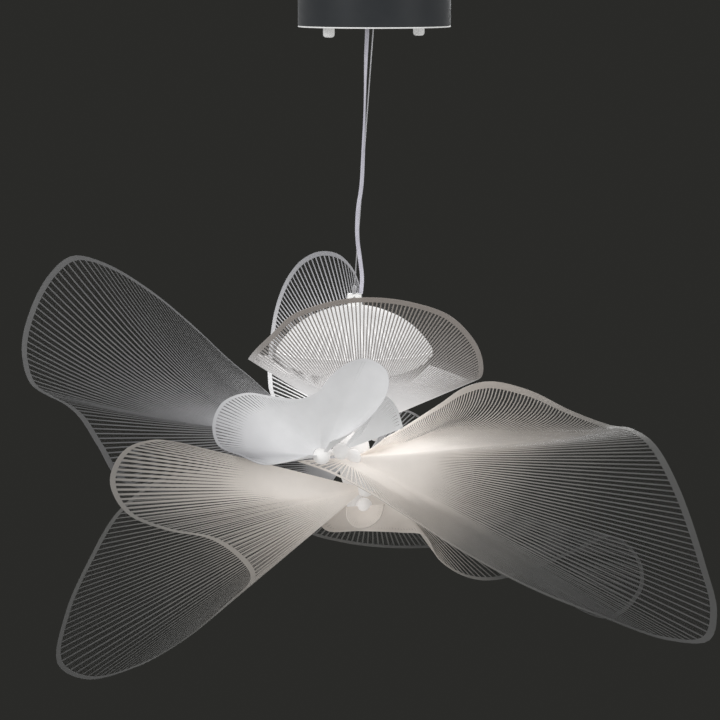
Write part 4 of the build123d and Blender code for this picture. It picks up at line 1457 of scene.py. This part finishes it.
@dataclass
class Petal:
    """A clear sheet with a fan of white lines and a white border, in millimetres.

    Attributes:
        shape: the petal's own places and print.
        rim_steps: steps along the rim by which its length is measured.
        fewest_lines: least number of gaps between lines.
        halvings: how often the search for a line's start is halved.
        throat: distance from the root at which the lines start.
        sharpness: how sharply a line turns, from 0 to 1.
        crowding: most of the pitch that a line fills.
        finest: pitch below which the lines begin to run together.
        solid_end: share of the way out over which solid print parts into lines.
        fine_end: change of pitch over which the lines run together.
        overlap: width of solid print as a share of the pitch.
        border_most: most that a border takes of a line's last stretch or of the pitch.
        side_border: width of the border along the two side edges.
        sheet_half: half of the sheet's thickness.
        print_half: half of the thickness from ink to ink.
        border_half: half of the thickness from border to border.
        levels: steps along each line.
        grid: places along every line.
        normal: directions off the sheet there.
        across: directions from line to line there.
        pitch: spacing of the lines there.
        width: width of each line.
        solid: share of each line's way out over which its print is solid.
        way: way from the hub in metres, stretched by each band's light, which sets the painted falloff of
            the lamp's light.
    """

    shape: PetalShape
    rim_steps: int = 1200
    fewest_lines: int = 8
    halvings: int = 30
    throat: float = 9.3
    sharpness: float = 0.8
    crowding: float = 0.9
    finest: float = 1.5
    solid_end: float = 0.14
    fine_end: float = 0.6
    overlap: float = 1.03
    border_most: float = 0.9
    side_border: float = 2.4
    sheet_half: float = 0.4
    print_half: float = 0.46
    border_half: float = 0.5
    levels: int = 14
    grid: np.ndarray = field(init=False)
    normal: np.ndarray = field(init=False)
    across: np.ndarray = field(init=False)
    pitch: np.ndarray = field(init=False)
    width: np.ndarray = field(init=False)
    solid: np.ndarray = field(init=False)
    way: np.ndarray = field(init=False)

    def build(self) -> None:
        """Make the sheet and its white lines."""
        self.measure()
        self.sheet()
        self.lines()

    def measure(self) -> None:
        """Work out the grid of places, one row for each line, and its directions."""
        fine = self.smooth_rim(self.rim_steps)
        steps = np.linalg.norm(np.diff(fine[:, :3], axis=0), axis=1)
        along = np.concatenate([[0.0], np.cumsum(steps)])
        bands = self.shape.style.bands
        marks = [band.share for band in bands]
        share = along / along[-1]
        wanted = 1.0 / np.interp(share, marks, [band.pitch for band in bands])
        tally = np.concatenate([[0.0], np.cumsum((wanted[1:] + wanted[:-1]) / 2 * steps)])
        even = np.linspace(0.0, tally[-1], max(self.fewest_lines, round(tally[-1])) + 1)
        rim = np.stack([np.interp(even, tally, fine[:, k]) for k in range(4)], -1)
        where = np.interp(even, tally, share)
        self.width = np.interp(where, marks, [band.width for band in bands])
        self.solid = np.interp(where, marks, [band.solid for band in bands])
        light = np.interp(where, marks, [band.light for band in bands])
        grid = self.line_places(rim)
        across = np.gradient(grid, axis=0)
        onward = np.gradient(grid, axis=1)
        normal = np.cross(across, onward)
        length = np.linalg.norm(normal, axis=2)[..., None]
        self.normal = normal / np.maximum(length, 1e-9)
        self.pitch = np.linalg.norm(across, axis=2)
        self.across = across / np.maximum(self.pitch[..., None], 1e-9)
        self.grid = grid
        # Way stretched by the bands' light: it sets the painted falloff and painted glow in the finishes.
        self.way = np.linalg.norm(grid - np.array(HUB_CENTRE), axis=2) * MM / light[:, None]

    def smooth_rim(self, count: int) -> np.ndarray:
        """Smooth curve through the rim's places.

        Args:
            count: number of steps along it.

        Returns:
            One row for each place: x, y, z and curl.
        """
        places = np.array([(*place, 0.0)[:4] for place in self.shape.rim], float)
        chord = np.linalg.norm(np.diff(places[:, :3], axis=0), axis=1)
        knots = np.concatenate([[0.0], np.cumsum(np.sqrt(chord))])
        gaps = np.diff(knots)
        rises = np.diff(places, axis=0) / gaps[:, None]
        slopes = np.empty_like(places)
        slopes[0], slopes[-1] = rises[0], rises[-1]
        before, after = gaps[:-1, None], gaps[1:, None]
        slopes[1:-1] = (rises[1:] * before + rises[:-1] * after) / (before + after)
        at = np.linspace(0.0, knots[-1], count + 1)
        n = np.clip(np.searchsorted(knots, at, side="right") - 1, 0, len(gaps) - 1)
        width = gaps[n][:, None]
        t = ((at - knots[n]) / gaps[n])[:, None]
        keep = 2 * t**3 - 3 * t**2 + 1
        leave, arrive = (t**3 - 2 * t**2 + t) * width, (t**3 - t**2) * width
        return keep * places[n] + leave * slopes[n] + (1 - keep) * places[n + 1] + arrive * slopes[n + 1]

    def line_places(self, rim: np.ndarray) -> np.ndarray:
        """Places along every line, from the knob's edge to the rim.

        Args:
            rim: one row for each line's end: x, y, z and curl.

        Returns:
            The places, line by line.
        """
        root = np.array(self.shape.root, float)
        end = rim[:, :3]
        curl = np.clip(rim[:, 3:], 0.0, 1.0)
        level = 0.5 + (self.shape.bend[0] - 0.5) * curl
        rise = 0.5 + (self.shape.bend[1] - 0.5) * curl
        turn = root + (end - root) * np.concatenate([level, level, rise], axis=1)
        first = root + (turn - root) * self.sharpness
        second = end + (turn - end) * self.sharpness

        def point(v: np.ndarray) -> np.ndarray:
            """Place at share v of each line."""
            v = v[:, None]
            w = 1 - v
            return root * w**3 + first * 3 * v * w**2 + second * 3 * v**2 * w + end * v**3

        low, high = np.zeros(len(rim)), np.ones(len(rim))
        for _ in range(self.halvings):
            middle = (low + high) / 2
            inside = np.linalg.norm(point(middle) - root, axis=1) < self.throat
            low, high = np.where(inside, middle, low), np.where(inside, high, middle)
        shares = np.linspace(0.0, 1.0, self.levels + 1)
        grid = np.stack([point(low + (1 - low) * s) for s in shares], axis=1)
        return grid + np.array(HUB_CENTRE)

    def sheet(self) -> None:
        """Closed clear sheet."""
        upper = self.grid + self.normal * self.sheet_half
        lower = self.grid - self.normal * self.sheet_half
        rows, columns = self.grid.shape[:2]
        half = rows * columns
        faces = []
        for r in range(rows - 1):
            for c in range(columns - 1):
                a, b = r * columns + c, (r + 1) * columns + c
                faces.append((a, b, b + 1, a + 1))
                faces.append((half + a, half + a + 1, half + b + 1, half + b))
        ring = list(range(columns))
        ring += [r * columns + columns - 1 for r in range(1, rows)]
        ring += [(rows - 1) * columns + c for c in range(columns - 2, -1, -1)]
        ring += [r * columns for r in range(rows - 2, 0, -1)]
        for a, b in zip(ring, ring[1:] + ring[:1]):
            faces.append((a, b, half + b, half + a))
        places = np.concatenate([upper.reshape(-1, 3), lower.reshape(-1, 3)])
        piece = closed_piece(f"{self.shape.node}_sheet", places * MM, faces, angle=60)
        store_painted_falloff_way(piece, np.tile(self.way.ravel(), 2))
        settle(piece, self.shape.style.sheet, Slot.PETAL, Body.LAMP, self.shape.node)

    @staticmethod
    def strip(
        near: np.ndarray, far: np.ndarray, normal: np.ndarray, half: float, start: int
    ) -> tuple[np.ndarray, list]:
        """Closed flat strip between two edges.

        Args:
            near: places of one edge.
            far: places of the other edge.
            normal: directions off the sheet.
            half: half of the strip's thickness.
            start: number of its first vertex.

        Returns:
            The strip's places and faces.
        """
        lift = normal * half
        places = np.stack([near + lift, far + lift, far - lift, near - lift], axis=1).reshape(-1, 3)
        faces = []
        for n in range(len(near) - 1):
            a = start + 4 * n
            for m in range(4):
                faces.append((a + m, a + 4 + m, a + 4 + (m + 1) % 4, a + (m + 1) % 4))
        last = start + 4 * (len(near) - 1)
        faces.append((start, start + 1, start + 2, start + 3))
        faces.append((last + 3, last + 2, last + 1, last))
        return places, faces

    def half_widths(self) -> np.ndarray:
        """Half of each line's width all along it: full where the print is solid or too fine to part."""
        out = np.linspace(0.0, 1.0, self.levels + 1)[None, :]
        solid = np.clip((self.solid[:, None] - out) / self.solid_end + 0.5, 0.0, 1.0)
        fine = np.clip((self.finest - self.pitch) / self.fine_end, 0.0, 1.0)
        full = np.maximum(solid * (self.solid[:, None] > 0), fine)
        plain = np.minimum(self.width[:, None], self.pitch * self.crowding)
        return (plain + (self.pitch * self.overlap - plain) * full) / 2

    def lines(self) -> None:
        """White lines along the sheet, its border and its two side edges."""
        places, faces, start, ways = [], [], 0, []
        half = self.half_widths()
        onward = self.grid[:, -1] - self.grid[:, -2]
        reach = np.linalg.norm(onward, axis=1)[:, None]
        border = np.minimum(self.shape.style.border, reach * self.border_most)
        inner = self.grid[:, -1] - onward / reach * border
        strips = []
        for n in range(1, len(self.grid) - 1):
            spine = np.concatenate([self.grid[n, :-1], inner[n : n + 1]])
            aside = self.across[n] * half[n][:, None]
            strips.append((spine - aside, spine + aside, self.normal[n], self.print_half, self.way[n]))
        strips.append((inner, self.grid[:, -1], self.normal[:, -1], self.border_half, self.way[:, -1]))
        for row, sign in ((0, 1), (-1, -1)):
            wide = np.minimum(self.side_border, self.pitch[row] * self.border_most)[:, None]
            inward = self.grid[row] + self.across[row] * sign * wide
            pair = (self.grid[row], inward) if sign > 0 else (inward, self.grid[row])
            strips.append((*pair, self.normal[row], self.border_half, self.way[row]))
        for near, far, normal, thick, way in strips:
            ways.append(np.repeat(way, 4))
            new_places, new_faces = self.strip(near, far, normal, thick, start)
            places.append(new_places)
            faces += new_faces
            start += len(new_places)
        piece = closed_piece(f"{self.shape.node}_lines", np.concatenate(places) * MM, faces, angle=40)
        store_painted_falloff_way(piece, np.concatenate(ways))
        settle(piece, self.shape.style.ink, Slot.PETAL, Body.LAMP)


@dataclass
class Hub:
    """White stem under the light head, with an arm and a knob for each petal, in millimetres."""

    centre: Point = HUB_CENTRE
    stem_radius: float = 8.0
    stem_round: float = 0.6
    stem_top: float = -404.0
    stem_foot: float = -562.0
    core_radius: float = 17.0
    core_rise: float = 34.0
    core_drop: float = 40.0
    core_steps: int = 25
    core_inset: float = 2.0
    arm_radius: float = 4.0
    arm_taper: float = 0.8
    knob_radius: float = 9.0
    round_sides: int = 32
    knob_rings: int = 20

    def build(self) -> None:
        """Make the hub as one piece."""
        parts = [self.stem(), self.core()]
        for shape in PETALS:
            parts += self.arm(shape.root)
        bpy.ops.object.select_all(action="DESELECT")
        for part in parts:
            part.select_set(True)
        bpy.context.view_layer.objects.active = parts[0]
        bpy.ops.object.join()
        piece = bpy.context.object
        piece.name = piece.data.name = "petal_hub_body"
        lay_down(piece, angle=40)
        settle(piece, Finish.HUB, Slot.WHITE_PLASTIC, Body.LAMP, "petal_hub")

    def stem(self) -> bpy.types.Object:
        """Return the stem, with rounded ends."""
        x, y, _ = self.centre
        tall = (self.stem_top - self.stem_foot) * MM
        middle = (self.stem_top + self.stem_foot) / 2 * MM
        part = cylinder("stem", self.stem_radius * MM, tall, (x * MM, y * MM, middle), 2 * self.round_sides)
        lay_down(part)
        soften(part, self.stem_round * MM)
        return part

    def core(self) -> bpy.types.Object:
        """Return the barrel at the stem's middle that the arms grow from."""
        half = (self.core_rise + self.core_drop) / 2
        middle = self.centre[2] + (self.core_rise - self.core_drop) / 2
        swell = self.core_radius - self.stem_radius
        bow = (swell**2 + half**2) / (2 * swell)
        height = np.linspace(half, -half, self.core_steps)
        radius = self.core_radius - bow + np.sqrt(bow**2 - height**2)
        outline = np.stack([radius, height + middle], -1)
        bore = self.stem_radius - self.core_inset
        inner = np.array([[bore, outline[-1, 1]], [bore, outline[0, 1]]])
        places, faces = spin_profile(np.concatenate([outline, inner]) * MM, 72, self.centre[0] * MM)
        part = new_mesh("core", places, faces)
        face_out(part)
        return part

    def arm(self, root: Point) -> list[bpy.types.Object]:
        """Return the tapered arm and the round knob of one petal.

        Args:
            root: the knob's place from the hub's centre, in millimetres.

        Returns:
            The two objects.
        """
        knob = Vector(self.centre) + Vector(root)
        start = Vector((self.centre[0], self.centre[1], knob.z))
        way = knob - start
        bpy.ops.object.select_all(action="DESELECT")
        bpy.ops.mesh.primitive_cone_add(
            vertices=self.round_sides,
            radius1=self.arm_radius * MM,
            radius2=self.arm_radius * self.arm_taper * MM,
            depth=way.length * MM,
        )
        rod = bpy.context.object
        turn = way.to_track_quat("Z", "Y").to_matrix().to_4x4()
        rod.matrix_world = Matrix.Translation((start + way / 2) * MM) @ turn
        lay_down(rod)
        bpy.ops.object.select_all(action="DESELECT")
        bpy.ops.mesh.primitive_uv_sphere_add(
            segments=self.round_sides,
            ring_count=self.knob_rings,
            radius=self.knob_radius * MM,
            location=knob * MM,
        )
        ball = bpy.context.object
        lay_down(ball)
        return [rod, ball]


@dataclass
class InnerParts:
    """CAD nodes that stay as they are and get their finishes."""

    finishes: dict[Finish, tuple[str, ...]] = field(
        default_factory=lambda: {
            Finish.STEEL: (
                "ceiling_strap", "canopy_studs", "stud_nuts", "driver_screws", "housing_screws",
                "wire_ferrule_top", "wire_ferrule_bottom", "center_rod", "dome_nut",
            ),
            Finish.PLASTIC: ("led_driver", "terminal_block", "cord_clamp"),
            Finish.HUB: ("hub_washer", "hub_cap_nut"),
            Finish.NYLON: ("swivel_housing", "swivel_turntable", "swivel_cap", "swivel_ball"),
            Finish.BRASS: ("terminal_screws", "swivel_cradle"),
            Finish.ALUMINIUM: ("heat_sink",),
            Finish.PLATE: ("led_board_upper", "led_board_lower"),
            Finish.CHIP: ("led_chips",),
        }
    )

    def build(self) -> None:
        """Dress each node."""
        for finish, nodes in self.finishes.items():
            for node in nodes:
                dress(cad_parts[node], finish)
                log.info("%s: %s", node, finish.value.name)


@dataclass(frozen=True)
class SoftLamp:
    """A soft square lamp that faces the flower.

    Attributes:
        name: its name.
        place: its place in metres.
        size: its side in metres.
        power: its power in watts.
        aim: the place that it faces.
    """

    name: str
    place: Point
    size: float
    power: float
    aim: Point = (0.0, 0.0, -0.4)

    def build(self) -> None:
        """Add the lamp to the scene."""
        data = bpy.data.lights.new(self.name, "AREA")
        data.size = self.size
        data.energy = self.power
        light = bpy.data.objects.new(self.name, data)
        light.location = self.place
        way = Vector(self.aim) - Vector(self.place)
        light.rotation_euler = way.to_track_quat("-Z", "Y").to_euler()
        bpy.context.scene.collection.objects.link(light)


@dataclass
class Studio:
    """Camera, floor, soft lamps and a dark surround."""

    camera_place: Point = (-15 * MM, -3200 * MM, 28 * MM)
    camera_dip: float = 7.65
    focal_pixels: float = 3040.0
    frame_pixels: float = 720.0
    sensor: float = 36.0
    sight: tuple[float, float] = (0.1, 50.0)
    bounces: int = 64
    floor_z: float = -1.35
    floor_radius: float = 1.5
    floor_thickness: float = 0.02
    floor_tones: tuple[Point, Point] = ((0.55, 0.55, 0.54), (0.60, 0.60, 0.59))
    lamps: tuple[SoftLamp, ...] = (
        SoftLamp("key", (-1.6, -1.8, 0.9), 1.2, 26.0),
        SoftLamp("fill", (1.9, -1.5, 0.2), 1.4, 10.0),
        SoftLamp("back", (0.4, 2.0, 0.5), 1.2, 12.0),
    )
    surround: Point = (0.0235, 0.0235, 0.0215)
    ambient: float = 0.55

    def camera(self) -> None:
        """Set the camera at the photograph's angle."""
        data = bpy.data.cameras.new("camera")
        data.sensor_width = self.sensor
        data.lens = data.sensor_width * self.focal_pixels / self.frame_pixels
        data.clip_start, data.clip_end = self.sight
        camera = bpy.data.objects.new("camera", data)
        camera.location = self.camera_place
        camera.rotation_euler = (math.radians(90 - self.camera_dip), 0.0, 0.0)
        bpy.context.scene.collection.objects.link(camera)
        bpy.context.scene.camera = camera

    def build(self) -> None:
        """Make floor, lamps and world."""
        bpy.context.scene.view_settings.view_transform = "Standard"
        bpy.context.scene.cycles.transparent_max_bounces = self.bounces
        self.floor()
        for lamp in self.lamps:
            lamp.build()
        self.world()

    def floor(self) -> None:
        """Plain pale floor, below the camera's view."""
        place = (0, 0, self.floor_z)
        piece = cylinder("studio_floor", self.floor_radius, self.floor_thickness, place, 96)
        lay_down(piece)
        tree = Tree("floor_pale")
        shader = tree.add("ShaderNodeBsdfPrincipled")
        tone = tree.blend(tree.ramp(tree.noise(3.0), 0.0, 1.0), *self.floor_tones)
        tree.join(tone, shader.inputs["Base Color"])
        shader.inputs["Roughness"].default_value = 0.8
        piece.data.materials.append(tree.close(shader.outputs["BSDF"]))

    def world(self) -> None:
        """Even light all round, with a dark surround as seen."""
        world = bpy.data.worlds.new("surround")
        world.use_nodes = True
        bpy.context.scene.world = world
        nodes, links = world.node_tree.nodes, world.node_tree.links
        nodes.clear()
        path = nodes.new("ShaderNodeLightPath")
        either = nodes.new("ShaderNodeMath")
        either.operation = "MAXIMUM"
        links.new(path.outputs["Is Camera Ray"], either.inputs[0])
        links.new(path.outputs["Is Transmission Ray"], either.inputs[1])
        light = nodes.new("ShaderNodeBackground")
        light.inputs["Color"].default_value = (1.0, 1.0, 1.0, 1.0)
        light.inputs["Strength"].default_value = self.ambient
        dark = nodes.new("ShaderNodeBackground")
        dark.inputs["Color"].default_value = (*self.surround, 1.0)
        dark.inputs["Strength"].default_value = 1.0
        mix = nodes.new("ShaderNodeMixShader")
        links.new(either.outputs[0], mix.inputs[0])
        links.new(light.outputs[0], mix.inputs[1])
        links.new(dark.outputs[0], mix.inputs[2])
        out = nodes.new("ShaderNodeOutputWorld")
        links.new(mix.outputs[0], out.inputs["Surface"])


def main() -> None:
    """Build the lamp and its studio."""
    logging.basicConfig(level=logging.INFO, format="%(message)s")
    studio = Studio()
    studio.camera()
    Suspension().build()
    Canopy().build()
    LightHead().build()
    Hub().build()
    for shape in PETALS:
        Petal(shape).build()
    InnerParts().build()
    studio.build()


if __name__ == "__main__":
    main()
